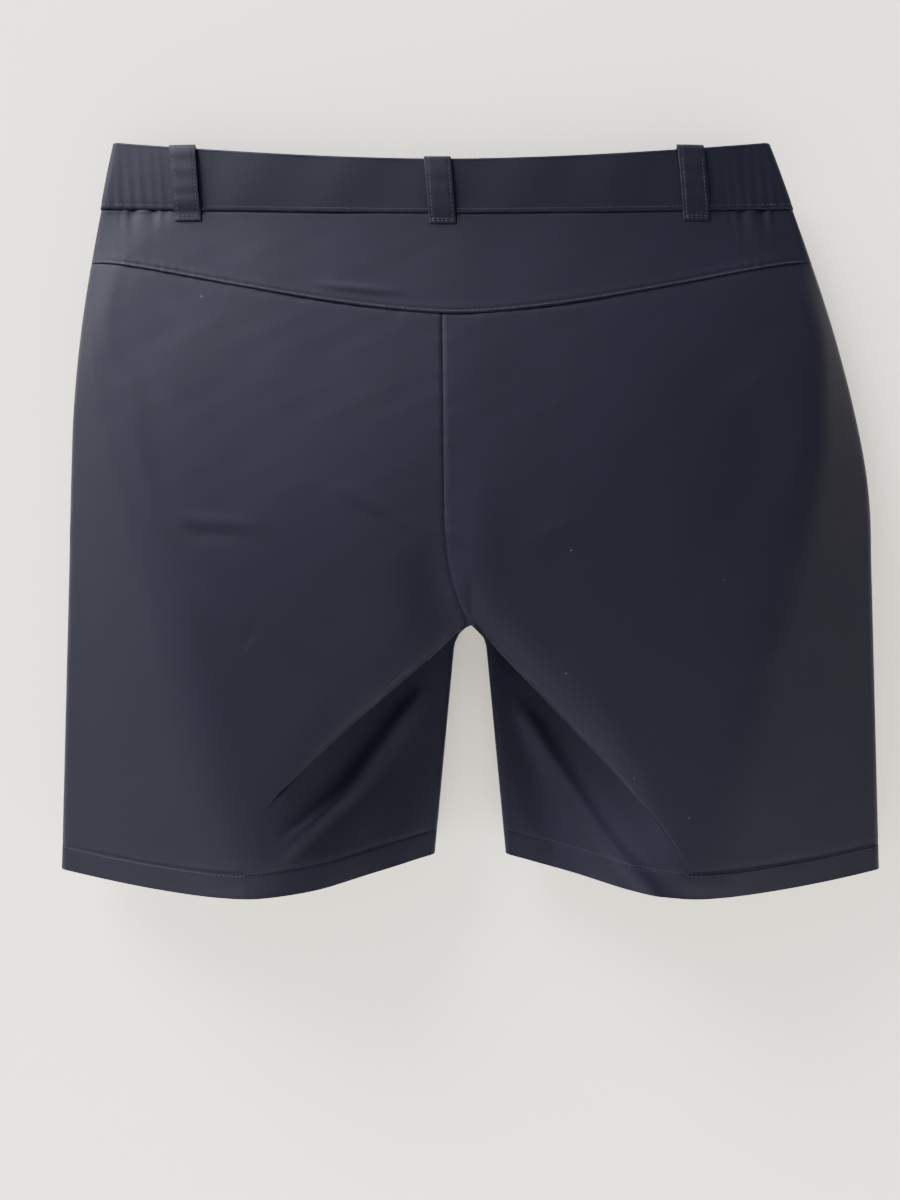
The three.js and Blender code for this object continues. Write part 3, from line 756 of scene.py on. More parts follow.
def grain_group():
    """Fine cast or brushed grain for metal and moulded plastic."""
    tree, given, made = group(
        "fine_grain",
        [
            ("Place", "NodeSocketVector", None),
            ("Color", "NodeSocketColor", (0.05, 0.05, 0.055, 1)),
            ("Roughness", "NodeSocketFloat", 0.35),
            ("Scale", "NodeSocketFloat", 900.0),
        ],
        [
            ("Color", "NodeSocketColor"),
            ("Roughness", "NodeSocketFloat"),
            ("Height", "NodeSocketFloat"),
        ],
    )
    noise = tree.nodes.new("ShaderNodeTexNoise")
    tree.links.new(given.outputs["Place"], noise.inputs["Vector"])
    tree.links.new(given.outputs["Scale"], noise.inputs["Scale"])
    fac = noise.outputs["Fac"]
    tint = math_node(tree, "MULTIPLY_ADD", fac, 0.4, 0.8)
    tree.links.new(shade_by(tree, given.outputs["Color"], tint), made.inputs["Color"])
    change = math_node(tree, "SUBTRACT", fac, 0.5)
    rough = math_node(tree, "MULTIPLY_ADD", change, 0.25, given.outputs["Roughness"])
    tree.links.new(rough, made.inputs["Roughness"])
    tree.links.new(fac, made.inputs["Height"])
    return tree


def shared_group(name, build):
    return bpy.data.node_groups.get(name) or build()


def place_group(tree, source):
    node = tree.nodes.new("ShaderNodeGroup")
    node.node_tree = source
    return node


def start_material(name):
    material = bpy.data.materials.new(name)
    material.use_nodes = True
    tree = material.node_tree
    shader = tree.nodes["Principled BSDF"]
    return material, tree, shader


def cloth_material(name, thread, between, pitch, roughness, sheen, depth, lint=False, unevenness=0.3):
    """Woven cloth: weave, soft sheen and, where asked, a little lint."""
    found = bpy.data.materials.get(name)
    if found:
        return found
    material, tree, shader = start_material(name)
    uv = tree.nodes.new("ShaderNodeUVMap")
    uv.uv_map = "cloth"
    weave = place_group(tree, shared_group("plain_weave", weave_group))
    tree.links.new(uv.outputs[0], weave.inputs["Cloth"])
    weave.inputs["Thread Pitch"].default_value = pitch
    weave.inputs["Thread"].default_value = (*thread, 1)
    # the colour between the threads is painted shade in the weave's hollows
    weave.inputs["Between Shade"].default_value = (*between, 1)
    weave.inputs["Unevenness"].default_value = unevenness
    weave.inputs["Roughness"].default_value = roughness
    colour = weave.outputs["Color"]
    if lint:
        specks = place_group(tree, shared_group("lint", lint_group))
        tree.links.new(uv.outputs[0], specks.inputs["Cloth"])
        tree.links.new(colour, specks.inputs["Color"])
        colour = specks.outputs["Color"]
    tree.links.new(colour, shader.inputs["Base Color"])
    tree.links.new(weave.outputs["Roughness"], shader.inputs["Roughness"])
    relief = tree.nodes.new("ShaderNodeBump")
    relief.inputs["Strength"].default_value = 0.5
    relief.inputs["Distance"].default_value = depth
    tree.links.new(weave.outputs["Height"], relief.inputs["Height"])
    tree.links.new(relief.outputs[0], shader.inputs["Normal"])
    shader.inputs["Sheen Weight"].default_value = sheen
    shader.inputs["Sheen Roughness"].default_value = 0.42
    shader.inputs["Sheen Tint"].default_value = (0.42, 0.48, 1.0, 1)
    shader.inputs["Specular IOR Level"].default_value = 0.17
    shader.inputs["Specular Tint"].default_value = (0.60, 0.62, 0.90, 1)
    return material


def grain_material(name, colour, roughness, metallic, scale, depth):
    """Metal or moulded plastic with a fine grain."""
    found = bpy.data.materials.get(name)
    if found:
        return found
    material, tree, shader = start_material(name)
    place = tree.nodes.new("ShaderNodeTexCoord")
    grain = place_group(tree, shared_group("fine_grain", grain_group))
    tree.links.new(place.outputs["Object"], grain.inputs["Place"])
    grain.inputs["Color"].default_value = (*colour, 1)
    grain.inputs["Roughness"].default_value = roughness
    grain.inputs["Scale"].default_value = scale
    tree.links.new(grain.outputs["Color"], shader.inputs["Base Color"])
    tree.links.new(grain.outputs["Roughness"], shader.inputs["Roughness"])
    relief = tree.nodes.new("ShaderNodeBump")
    relief.inputs["Strength"].default_value = 0.4
    relief.inputs["Distance"].default_value = depth
    tree.links.new(grain.outputs["Height"], relief.inputs["Height"])
    tree.links.new(relief.outputs[0], shader.inputs["Normal"])
    shader.inputs["Metallic"].default_value = metallic
    return material


def colours():
    return bpy.context.scene.shorts_colours


def shell_cloth():
    c = colours()
    return cloth_material("shell_weave", tuple(c.shell), tuple(c.shell_painted_shade), 0.42 * MM, 0.58, 0.03,
                          0.12 * MM, lint=True)


def lining_cloth():
    c = colours()
    # painted shade between the lining's threads
    shade = tuple(v * 0.7 for v in c.lining)
    return cloth_material("lining_weave", tuple(c.lining), shade, 0.5 * MM, 0.85, 0.10, 0.15 * MM)


def pocket_cloth():
    c = colours()
    thread = tuple(v * 0.85 for v in c.lining)
    # painted shade between the mesh's threads
    shade = tuple(v * 0.4 for v in c.lining)
    return cloth_material("pocket_mesh", thread, shade, 1.3 * MM, 0.85, 0.08, 0.3 * MM)


def elastic_cloth():
    c = colours()
    # painted shade between the webbing's threads
    shade = tuple(v * 0.5 for v in c.shell)
    return cloth_material("elastic_webbing", tuple(c.shell), shade, 1.1 * MM, 0.88, 0.10, 0.4 * MM)


def tape_cloth():
    c = colours()
    # painted shade between the tape's threads
    shade = tuple(v * 0.6 for v in c.lining)
    return cloth_material("zip_tape_weave", tuple(c.lining), shade, 0.8 * MM, 0.8, 0.12, 0.2 * MM)


def label_cloth():
    c = colours()
    # painted shade between the label's threads
    shade = tuple(v * 0.82 for v in c.label)
    return cloth_material("label_satin", tuple(c.label), shade, 0.3 * MM, 0.6, 0.05, 0.06 * MM)


def thread_material():
    return grain_material("sewing_thread", tuple(colours().thread), 0.62, 0.0, 5200, 0.06 * MM)


def plastic_material():
    return grain_material("moulded_plastic", (0.012, 0.012, 0.016), 0.42, 0.0, 2600, 0.03 * MM)


def metal_material():
    return grain_material("blackened_metal", tuple(colours().metal), 0.34, 1.0, 1500, 0.02 * MM)


# ---- panels ----


class Panels:
    """The surfaces that the cloth pieces are laid on."""

    seat_share = 0.56
    lip_share = 0.72
    hem_rows_share = 0.6
    inner_bows = {1: 1.6, -1: 2.4}

    def __init__(self, hang):
        self.hang = hang

    def inner_x(self, side, z, back):
        hang = self.hang
        above = hang.seat_seam_x(z) if back else hang.centre_x(z)
        if back and side > 0:
            above = above - 2.5 * MM * ease((z - hang.crotch - 3 * MM) / (6 * MM))
        below = hang.centre_x(z) + side * hang.leg_gap(z)
        return np.where(z >= hang.crotch, above, below)

    def outer_x(self, side, z):
        return self.hang.centre_x(z) + side * self.hang.half_width(z)

    def solve(self, side, u, back, height_at, start):
        """Finds x and z where a column meets a row whose height depends on the offset."""
        z = np.full_like(u, start)
        for _ in range(PANEL_ROUNDS):
            x = mix(self.inner_x(side, z, back), self.outer_x(side, z), u)
            z = height_at(side * (x - self.hang.centre_x(z)))
        return x, z

    def stepped_height(self, top, bottom, share):
        """Rows down to the hem's stitching, then closer rows in the turned-up hem."""
        allowance = self.hang.size.hem_allowance + 2 * MM
        body = clamp01(share / self.hem_rows_share)
        turned = clamp01((share - self.hem_rows_share) / (1 - self.hem_rows_share))
        line = np.minimum(bottom + allowance, top)
        return np.where(share <= self.hem_rows_share, mix(top, line, body), mix(line, bottom, turned))

    def lip_fade(self, offset):
        return 1 - ease((offset - 70 * MM) / (60 * MM))

    def seat_end(self, side, offset):
        hang = self.hang
        radius = hang.size.lip_radius * self.lip_fade(offset)
        fold = hang.fold_z(side, offset) + radius
        return smooth_max(fold, hang.hem(offset) + 20 * MM, 4 * MM)

    def hem_dent(self, offset, z):
        """The pull of the hem's stitches, and the doubled cloth below them."""
        hang = self.hang
        above = z - hang.hem(offset) - hang.size.hem_allowance + 1 * MM
        return 0.22 * MM * ease(-above / (2 * MM)) - 0.5 * MM * bump(above, 1.3 * MM)

    def back_relief(self, x, z):
        """Everything that lies over the plain seat: creases, seams and gathers."""
        hang = self.hang
        offset = np.abs(x - hang.centre_x(z))
        near_side = ease((hang.half_width(z) - offset) / (30 * MM))
        relief = hang.crease_height(x, z) + 0.8 * hang.soft_waves(x, z) * near_side
        seam = np.abs(x - hang.seat_seam_x(z))
        on_seam = np.where(z > hang.crotch - 4 * MM, 1.0, 0.0)
        relief = relief + on_seam * hang.seam_pucker(seam, z, 9 * MM, 0.45 * MM)
        yoke = hang.yoke_seam(offset) - z
        relief = relief + hang.seam_pucker(yoke, x, 12 * MM, 0.45 * MM)
        relief = relief + hang.gathers(x, z, hang.band_seam(1, offset)) * near_side
        return relief + self.hem_dent(offset, z)

    def back_panel(self, side):
        """Seat rows, the rows of the hanging fold, and the rows of the inner leg."""
        hang = self.hang
        radius_full = hang.size.lip_radius
        start_angle = math.radians(20)
        end_angle = math.radians(158)

        def seat_y(x, z, offset):
            full = hang.seat_depth(x, z) + self.back_relief(x, z)
            under_yoke = 0.75 * MM * ease((z - hang.yoke_seam(offset) + 0.8 * MM) / (1.6 * MM))
            past_seam = 0.75 * MM * ease((hang.seat_seam_x(z) - x) / (0.7 * MM)) if side > 0 else 0.0
            full = full - under_yoke - past_seam
            above = clamp01((z - self.seat_end(side, offset)) / (30 * MM))
            return full - 4.5 * MM * (1 - above) ** 2 * self.lip_fade(offset)

        def inner_y(x, z, offset):
            gap = hang.leg_gap(z)
            reach = clamp01((offset - gap) / (hang.crest_offset - gap))
            full = hang.seat_depth(x, z) + self.back_relief(x, z)
            reach = clamp01(reach / 0.95)
            rise = (hang.size.crest_depth - 3 * MM) * np.sin(np.pi / 2 * reach) ** self.inner_bows[side]
            ramp = hang.inner_leg_depth(offset, z, 0.0) + rise
            hem = hang.hem(offset)
            height = clamp01((z - hem) / np.maximum(self.seat_end(side, offset) - hem, 1e-6))
            ramp = ramp - 12 * MM * ease(height * 1.25) * np.sin(np.pi * reach**0.85) ** 1.5
            below = (hang.crotch - z) / hang.fold_slopes[side]
            ridge = below - mix(22 * MM, 42 * MM, clamp01((below - 60 * MM) / (60 * MM)))
            fold = 4.5 * MM * bump(offset - ridge, 8 * MM) * ease((offset - 18 * MM) / (20 * MM))
            slack = 0.9 * MM * np.sin(2 * np.pi * (offset + 0.5 * z) / (46 * MM))
            quiet = ease((offset - 20 * MM) / (25 * MM)) * (1 - ease((reach - 0.8) / 0.2))
            ramp = ramp + (fold + slack) * quiet + self.hem_dent(offset, z)
            return smooth_min(ramp, full, mix(13 * MM, 3 * MM, ease(height * 1.6)))

        def surface(u, v):
            u = crowd(u, 0.6)
            seat_share = clamp01(v / self.seat_share)
            lip_share = clamp01((v - self.seat_share) / (self.lip_share - self.seat_share))
            leg_share = clamp01((v - self.lip_share) / (1 - self.lip_share))
            seat_x, seat_z = self.solve(
                side, u, True,
                lambda a: mix(hang.yoke_seam(a) + 5 * MM, self.seat_end(side, a), seat_share), -200 * MM)
            seat_offset = side * (seat_x - hang.centre_x(seat_z))
            leg_x, leg_z = self.solve(
                side, u, True,
                lambda a: self.stepped_height(self.seat_end(side, a) - 3 * MM, hang.hem(a), leg_share),
                -350 * MM)
            leg_offset = side * (leg_x - hang.centre_x(leg_z))
            y_seat = seat_y(seat_x, seat_z, seat_offset)
            y_leg = inner_y(leg_x, leg_z, leg_offset)
            # the lip: an arc that turns under, then a return that drops to the inner leg
            radius = radius_full * self.lip_fade(seat_offset)
            centre_y = y_seat - radius * math.cos(start_angle)
            centre_z = seat_z + radius * math.sin(start_angle)
            turn = clamp01(lip_share / 0.55)
            angle = mix(start_angle, end_angle, turn)
            arc_y = centre_y + radius * np.cos(angle)
            arc_z = centre_z - radius * np.sin(angle)
            back = clamp01((lip_share - 0.55) / 0.45)
            reach = np.maximum(radius * 0.9, 0.0)
            b1_y = arc_y - math.sin(end_angle) * reach
            b1_z = arc_z - math.cos(end_angle) * reach
            b2_y, b2_z = y_leg, leg_z + reach
            keep = (1 - back) ** 3, 3 * back * (1 - back) ** 2, 3 * back**2 * (1 - back), back**3
            fold_y = keep[0] * arc_y + keep[1] * b1_y + keep[2] * b2_y + keep[3] * y_leg
            fold_z = keep[0] * arc_z + keep[1] * b1_z + keep[2] * b2_z + keep[3] * leg_z
            in_seat = v <= self.seat_share
            in_leg = v >= self.lip_share
            turned = clamp01(radius / (2 * MM))
            fold_y = mix(mix(y_seat, y_leg, lip_share), fold_y, turned)
            fold_z = mix(mix(seat_z, leg_z, lip_share), fold_z, turned)
            x = np.where(in_seat, seat_x, np.where(in_leg, leg_x, mix(seat_x, leg_x, lip_share)))
            y = np.where(in_seat, y_seat, np.where(in_leg, y_leg, fold_y))
            z = np.where(in_seat, seat_z, np.where(in_leg, leg_z, fold_z))
            return x, y, z

        return surface

    def front_relief(self, x, z):
        hang = self.hang
        offset = np.abs(x - hang.centre_x(z))
        near_side = ease((hang.half_width(z) - offset) / (30 * MM))
        waves = 0.9 * hang.soft_waves(x + 40 * MM, z - 30 * MM) * near_side
        seam = -0.9 * MM * bump(x - hang.centre_x(z), 1.5 * MM) * np.where(z < -160 * MM, 1.0, 0.0)
        quiet = ease((offset - 22 * MM) / (25 * MM)) + ease((-170 * MM - z) / (20 * MM))
        fly_x = x - hang.centre_x(z) - 5 * MM
        fly_end = np.hypot(fly_x / (16 * MM), (z - PLACKET_LOW.z + 6 * MM) / (16 * MM))
        return waves * clamp01(quiet) + seam + self.hem_dent(offset, z) + 1.2 * MM * bump(fly_end, 1.0)

    def fly_edge(self, side, z):
        hang = self.hang
        reach = hang.front_left_end if side > 0 else 2.5 * MM
        below = (PLACKET_LOW.z + 12 * MM - z) / (12 * MM)
        curve = np.sqrt(np.maximum(0, 1 - clamp01(below) ** 2))
        return np.where(below >= 1, 0.1 * MM, mix(0.1 * MM, reach, curve))

    def pocket_edge(self, z):
        hang = self.hang
        mouth_top = hang.side_top - hang.side_band_height
        reach = clamp01((mouth_top - z) / (140 * MM))
        full = hang.half_width(z)
        return mix(128 * MM, full, np.sin(np.pi / 2 * reach) ** 1.4)

    def front_panel(self, side):
        hang = self.hang

        def surface(u, v):
            u = crowd(u, 0.6)
            z = np.full_like(u, -200 * MM)
            for _ in range(PANEL_ROUNDS):
                fly = hang.centre_x(z) + side * self.fly_edge(side, z)
                leg = hang.centre_x(z) + side * (hang.leg_gap(z) + 0.1 * MM)
                inner = np.where(z >= hang.crotch, fly, leg)
                outer = hang.centre_x(z) + side * self.pocket_edge(z)
                x = mix(inner, outer, u)
                offset = np.abs(x - hang.centre_x(z))
                z = self.stepped_height(hang.band_seam(-1, offset) + 5 * MM, hang.hem(offset), v)
            under_band = 0.8 * MM * ease((z - hang.band_seam(-1, offset) + 0.8 * MM) / (1.6 * MM))
            y = -hang.front_depth(x, z) - self.front_relief(x, z) + under_band
            return x, y, z

        return surface

    def under(self, surface, depth, out):
        """A layer that lies a little inside another."""

        def inside(u, v):
            here, normal = points_and_normals(surface, u, v)
            sign = np.sign(normal[..., 1:2] * out)
            normal = normal * np.where(sign == 0, 1, sign)
            moved = here - normal * depth
            return moved[..., 0], moved[..., 1], moved[..., 2]

        return inside

    def yoke(self):
        hang = self.hang

        def surface(u, v):
            side_u = crowd(u, 0.5)
            z = np.full_like(u, -50 * MM)
            for _ in range(PANEL_ROUNDS):
                x = hang.centre_x(z) + (2 * side_u - 1) * hang.half_width(z)
                offset = np.abs(x - hang.centre_x(z))
                z = mix(hang.band_seam(1, offset) + 5 * MM, hang.yoke_seam(offset), crowd(v, 0.6))
            near_side = ease((hang.half_width(z) - offset) / (26 * MM))
            relief = hang.crease_height(x, z) + 0.6 * hang.soft_waves(x, z) * near_side
            relief = relief + hang.gathers(x, z, hang.band_seam(1, offset)) * near_side
            below = z - hang.yoke_seam(offset)
            swell = 0.36 * MM * (1 - ease(below / (9 * MM)))
            edge = swell - 0.45 * MM * (1 - quarter_round(below / (1.0 * MM)))
            stitch = -0.28 * MM * bump(below - 2.4 * MM, 0.9 * MM)
            pucker = 0.12 * MM * np.sin(2 * np.pi * x / (6.3 * MM)) * bump(below - 3 * MM, 4 * MM)
            above = hang.band_seam(1, offset) - z
            tuck = -0.8 * MM * ease((1.2 * MM - above) / (1.8 * MM))
            y = hang.seat_depth(x, z) + relief + (edge + stitch + pucker) * near_side + tuck
            return x, y, z

        return surface

    # waistband

    def band_profile(self, v):
        """Across the band: over the top edge from inside, down the face, in at the seam."""
        over = clamp01(v / 0.16)
        face = clamp01((v - 0.16) / 0.84)
        radius = 1.55 * MM
        angle = mix(math.pi, 0, over)
        lift = np.where(v < 0.16, -0.95 * MM + radius * np.cos(angle), 0.6 * MM)
        rise = np.where(v < 0.16, radius * np.sin(angle) - radius, 0.0)
        puff = 0.25 * MM * np.sin(np.pi * clamp01(face * 1.02))
        turned = -0.65 * MM * (1 - quarter_round((1 - face) / 0.035))
        stitch = -0.26 * MM * bump((1 - face) * self.hang.band_height - 2.6 * MM, 0.8 * MM)
        return lift + np.where(v < 0.16, 0.0, puff + turned + stitch), rise, face

    def band(self, out, start, end):
        hang = self.hang

        def surface(u, v):
            across = mix(start, end, u)
            offset = np.abs(across)
            lift, rise, face = self.band_profile(v)
            z = mix(hang.top(out, offset), hang.band_seam(out, offset) + 0.3 * MM, face) + rise
            x = hang.centre_x(z) + across
            depth = hang.seat_depth(x, z) if out > 0 else hang.front_depth(x, z)
            wave = 0.35 * MM * np.sin(2 * np.pi * across / (57 * MM) + 0.6) * np.sin(np.pi * face)
            return x, out * (depth + lift + wave), z

        return surface

    def band_turn(self, side, lift=None, inset=0.0):
        """The stretch with elastic in it, round the side fold from loop to loop."""
        hang = self.hang

        def surface(u, v):
            turn = 1 - 2 * u
            back = turn >= 0
            join = np.where(back, hang.back_loop, hang.front_join) + 0.4 * MM
            if lift is None:
                raised, rise, face = self.band_profile(v)
            else:
                raised, rise, face = lift, 0.0, v
            z = np.zeros_like(u)
            for _ in range(BAND_ROUNDS):
                width = hang.half_width(z)
                offset = width - (width - join) * turn * turn
                top = np.where(back, hang.top(1, offset), hang.top(-1, offset)) - inset
                seam = np.where(back, hang.band_seam(1, offset), hang.band_seam(-1, offset)) + inset
                z = mix(top, seam + 0.3 * MM, face) + rise
            edge = width - offset
            fold = hang.side_fold
            x_line = hang.centre_x(z) + side * offset
            depth = np.where(back, hang.seat_depth(x_line, z), -hang.front_depth(x_line, z))
            # outward direction turns from facing back to facing sideways at the fold
            tilt = np.arcsin(clamp01(1 - edge / fold))
            ribs = np.sin(2 * np.pi * offset / (6.6 * MM) + 0.8 * np.sin(offset / (9 * MM)))
            rib = 0.16 * MM * ribs * mix(0.2, 1.0, face) * ease((edge - 3 * MM) / (8 * MM))
            away = raised + (rib if lift is None else 0.0)
            sign = np.where(back, 1.0, -1.0)
            x = x_line + side * np.sin(tilt) * away
            y = depth + sign * np.cos(tilt) * away
            return x, y, z

        return surface


# ---- pieces ----


def make_back_panels(panels):
    cloth = shell_cloth()
    for name, side in SIDES.items():
        cloth_piece(f"back_panel_{name}_cloth", panels.back_panel(side), 140, 200, (0, 1, 0), cloth,
                    f"back_panel_{name}", flat_cloth=True)


def make_front_panels(panels):
    cloth = shell_cloth()
    for name, side in SIDES.items():
        cloth_piece(f"front_panel_{name}_cloth", panels.front_panel(side), 110, 130, (0, -1, 0), cloth,
                    f"front_panel_{name}", flat_cloth=True)


def make_yoke(panels):
    cloth_piece("back_yoke_cloth", panels.yoke(), 260, 60, (0, 1, 0), shell_cloth(), "back_yoke",
                flat_cloth=True)


def make_waistband(panels):
    hang = panels.hang
    cloth = shell_cloth()
    loop, join = hang.back_loop, hang.front_join
    cloth_piece("waistband_back_cloth", panels.band(1, -loop, loop), 160, 40, (0, 1, 0), cloth,
                "waistband_back")
    front_left = panels.band(-1, hang.front_left_end, join)
    cloth_piece("waistband_front_left_cloth", front_left, 60, 40, (0, -1, 0), cloth, "waistband_front_left")
    front_right = panels.band(-1, -join, hang.front_right_end)
    cloth_piece("waistband_front_right_cloth", front_right, 70, 40, (0, -1, 0), cloth, "waistband_front_right")
    for name, side in SIDES.items():
        cloth_piece(f"waistband_side_{name}_cloth", panels.band_turn(side), 110, 40, (side, 0, 0), cloth,
                    f"waistband_side_{name}")


def make_facings(panels):
    """The band's inner face and the elastic between the layers."""
    hang = panels.hang
    lining = lining_cloth()
    loop, join = hang.back_loop, hang.front_join

    def inner_band(out, start, end):
        def surface(u, v):
            across = mix(start, end, u)
            offset = np.abs(across)
            z = mix(hang.top(out, offset) - 1.6 * MM, hang.band_seam(out, offset) + 1.2 * MM, v)
            x = hang.centre_x(z) + across
            depth = hang.seat_depth(x, z) if out > 0 else hang.front_depth(x, z)
            return x, out * (depth - 1.8 * MM), z

        return surface

    strips = (
        ("back", 1, -loop, loop, 120),
        ("front_left", -1, hang.front_left_end, join, 40),
        ("front_right", -1, -join, hang.front_right_end, 50),
    )
    for name, out, start, end, columns in strips:
        cloth_piece(f"waistband_facing_{name}_cloth", inner_band(out, start, end), columns, 12, (0, out, 0),
                    lining, f"waistband_facing_{name}")
    for name, side in SIDES.items():
        inner = panels.band_turn(side, -1.9 * MM, 1.2 * MM)
        cloth_piece(f"waistband_facing_side_{name}_cloth", inner, 80, 12, (side, 0, 0), lining,
                    f"waistband_facing_side_{name}")
        between = panels.band_turn(side, -0.55 * MM, 3 * MM)
        cloth_piece(f"waist_elastic_{name}_webbing", between, 80, 12, (side, 0, 0), elastic_cloth(),
                    f"waist_elastic_{name}", thickness=0.9 * MM)


def loop_surface(hang, out, across):
    """A belt loop's strip: tail on the yoke, over the belt's way, over the top edge."""
    half = 8.5 * MM
    offset = abs(across)
    top = float(hang.top(out, offset + half))
    seam = float(hang.band_seam(out, offset))
    stand = 3.1 * MM
    route = (
        (0.55 * MM, seam - 7 * MM),
        (0.75 * MM, seam - 4 * MM),
        (1.5 * MM, seam - 1.0 * MM),
        (stand, seam + 6 * MM),
        (stand + 0.3 * MM, (seam + top) / 2),
        (stand, top - 6 * MM),
        (2.3 * MM, top - 0.4 * MM),
        (0.6 * MM, top + 1.4 * MM),
        (-1.5 * MM, top + 1.3 * MM),
        (-3.2 * MM, top - 1.4 * MM),
        (-3.5 * MM, top - 6 * MM),
    )
    outs = np.array([o for o, _ in route])
    zs = np.array([z for _, z in route])
    run = np.concatenate([[0], np.cumsum(np.hypot(np.diff(outs), np.diff(zs)))])
    run = run / run[-1]

    def smooth_along(t, values):
        shifts = (-0.03, -0.015, 0, 0.015, 0.03)
        near = [np.interp(clamp01(t + shift), run, values) for shift in shifts]
        return sum(near) / len(near)

    def surface(u, v):
        o = smooth_along(v, outs)
        z = smooth_along(v, zs)
        side = 2 * u - 1
        x0 = hang.centre_x(z) + across + (3.5 * MM if out > 0 else 0.0)
        x = x0 + side * half
        depth = hang.seat_depth(x, z) if out > 0 else hang.front_depth(x, z)
        stitched = bump((1 - np.abs(side)) * half - 2 * MM, 0.7 * MM)
        edge = -0.45 * MM * np.abs(side) ** 6 - 0.18 * MM * stitched
        slack = 0.12 * MM * np.sin(2 * np.pi * z / (11 * MM) + across * 300)
        return x, out * (depth + o + (edge + slack) * np.tanh(o / (1.2 * MM))), z

    return surface


LOOPS = (
    ("centre_back", 1, 0.0),
    ("back_left", 1, Hang.back_loop),
    ("back_right", 1, -Hang.back_loop),
    ("front_left", -1, Hang.front_loop),
    ("front_right", -1, -Hang.front_loop),
)


def make_belt_loops(panels):
    hang = panels.hang
    cloth = shell_cloth()
    lines = {1: [], -1: []}
    for name, out, across in LOOPS:
        surface = loop_surface(hang, out, across)
        cloth_piece(f"belt_loop_{name}_strip", surface, 26, 90, (0, out, 0), cloth, f"belt_loop_{name}",
                    thickness=1.1 * MM)
        for edge in (0.13, 0.87):
            lines[out].append((surface, lambda t, edge=edge: (edge, mix(0.02, 0.66, t))))
        for level in (0.035, 0.06):
            lines[out].append((surface, lambda t, level=level: (mix(0.1, 0.9, t), level)))
    thread = thread_material()
    stitch_row("stitches_back_loops", lines[1], (0, 1, 0), thread)
    stitch_row("stitches_front_loops", lines[-1], (0, -1, 0), thread)


def make_hems(panels):
    """The turned-up cloth inside each hem, meeting the panel at the folded bottom edge."""
    cloth = shell_cloth()
    reach = 1 - (1 - Panels.hem_rows_share) * 0.94
    for name, side in SIDES.items():
        for layer, out in (("back", 1), ("front", -1)):
            outer = panels.back_panel(side) if out > 0 else panels.front_panel(side)
            low = Panels.lip_share if out > 0 else 0.0
            start = mix(low, 1.0, reach)

            def surface(u, v, outer=outer, start=start, out=out):
                inner = panels.under(outer, 1.25 * MM, out)
                x, y, z = inner(mix(0.004, 0.996, u), mix(start, 0.999, v))
                return x, y, z + 0.3 * MM

            cloth_piece(f"hem_facing_{layer}_{name}_cloth", surface, 110, 14, (0, out, 0), cloth,
                        f"hem_facing_{layer}_{name}")


def make_topstitching(panels):
    hang = panels.hang
    thread = thread_material()
    yoke = panels.yoke()
    stitch_row("stitches_yoke", [(yoke, lambda t: (mix(0.03, 0.97, t), 0.955))], (0, 1, 0), thread)
    band = panels.band(1, -hang.back_loop, hang.back_loop)
    low = 0.938
    stitch_row("stitches_waistband_back", [(band, lambda t: (t, low))], (0, 1, 0), thread)
    left = panels.band(-1, hang.front_left_end, hang.front_join)
    right = panels.band(-1, -hang.front_join, hang.front_right_end)
    stitch_row("stitches_waistband_front", [(left, lambda t: (t, low)), (right, lambda t: (t * 0.87, low))],
               (0, -1, 0), thread)
    row = mix(Panels.hem_rows_share, 1.0, 0.158)
    for name, side in SIDES.items():
        turn = panels.band_turn(side)
        stitch_row(f"stitches_waistband_side_{name}",
                   [(turn, lambda t: (mix(0.0, 0.46, t), low))], (0, 1, 0), thread)
        stitch_row(f"stitches_waistband_side_front_{name}",
                   [(turn, lambda t: (mix(0.54, 1.0, t), low))], (0, -1, 0), thread)
        back_row = mix(Panels.lip_share, 1.0, row)
        stitch_row(f"stitches_hem_back_{name}",
                   [(panels.back_panel(side), lambda t: (mix(0.01, 0.99, t), back_row))], (0, 1, 0), thread)
        stitch_row(f"stitches_pocket_mouth_{name}",
                   [(panels.front_panel(side), lambda t: (0.978, mix(0.02, 0.36, t)))], (0, -1, 0), thread)
        stitch_row(f"stitches_hem_front_{name}",
                   [(panels.front_panel(side), lambda t: (mix(0.01, 0.99, t), row))], (0, -1, 0), thread)


def make_pockets(panels):
    """The facing behind each slanted pocket mouth, and the bag that hangs from it."""
    hang = panels.hang
    mouth_low = hang.side_top - hang.side_band_height - 148 * MM
    for name, side in SIDES.items():

        def facing(u, v, side=side):
            z = np.full_like(u, -80 * MM)
            for _ in range(POCKET_ROUNDS):
                offset = mix(103 * MM, hang.half_width(z), 1 - (1 - u) ** 2)
                z = mix(hang.band_seam(-1, offset) - 0.2 * MM, mouth_low, v)
            x = hang.centre_x(z) + side * offset
            near_side = ease((hang.half_width(z) - offset) / (30 * MM))
            y = -hang.front_depth(x, z) - 0.7 * hang.soft_waves(x, z) * near_side
            return x, y, z

        surface = panels.under(facing, 1.9 * MM, -1)
        cloth_piece(f"pocket_facing_{name}_cloth", surface, 60, 60, (0, -1, 0), shell_cloth(),
                    f"pocket_facing_{name}")

        def bag(u, v, side=side):
            z = np.full_like(u, -80 * MM)
            for _ in range(POCKET_ROUNDS):
                offset = mix(60 * MM, hang.half_width(z) - 30 * MM, u)
                z = mix(hang.band_seam(-1, offset) - 2 * MM, -215 * MM + 0.12 * offset, v)
            x = hang.centre_x(z) + side * offset
            y = -hang.front_depth(x, z) + 1.2 * MM * np.sin(2 * np.pi * offset / (60 * MM))
            return x, y, z

        surface = panels.under(bag, 4.0 * MM, -1)
        cloth_piece(f"pocket_bag_{name}_mesh", surface, 50, 50, (0, -1, 0), pocket_cloth(),
                    f"pocket_bag_{name}")


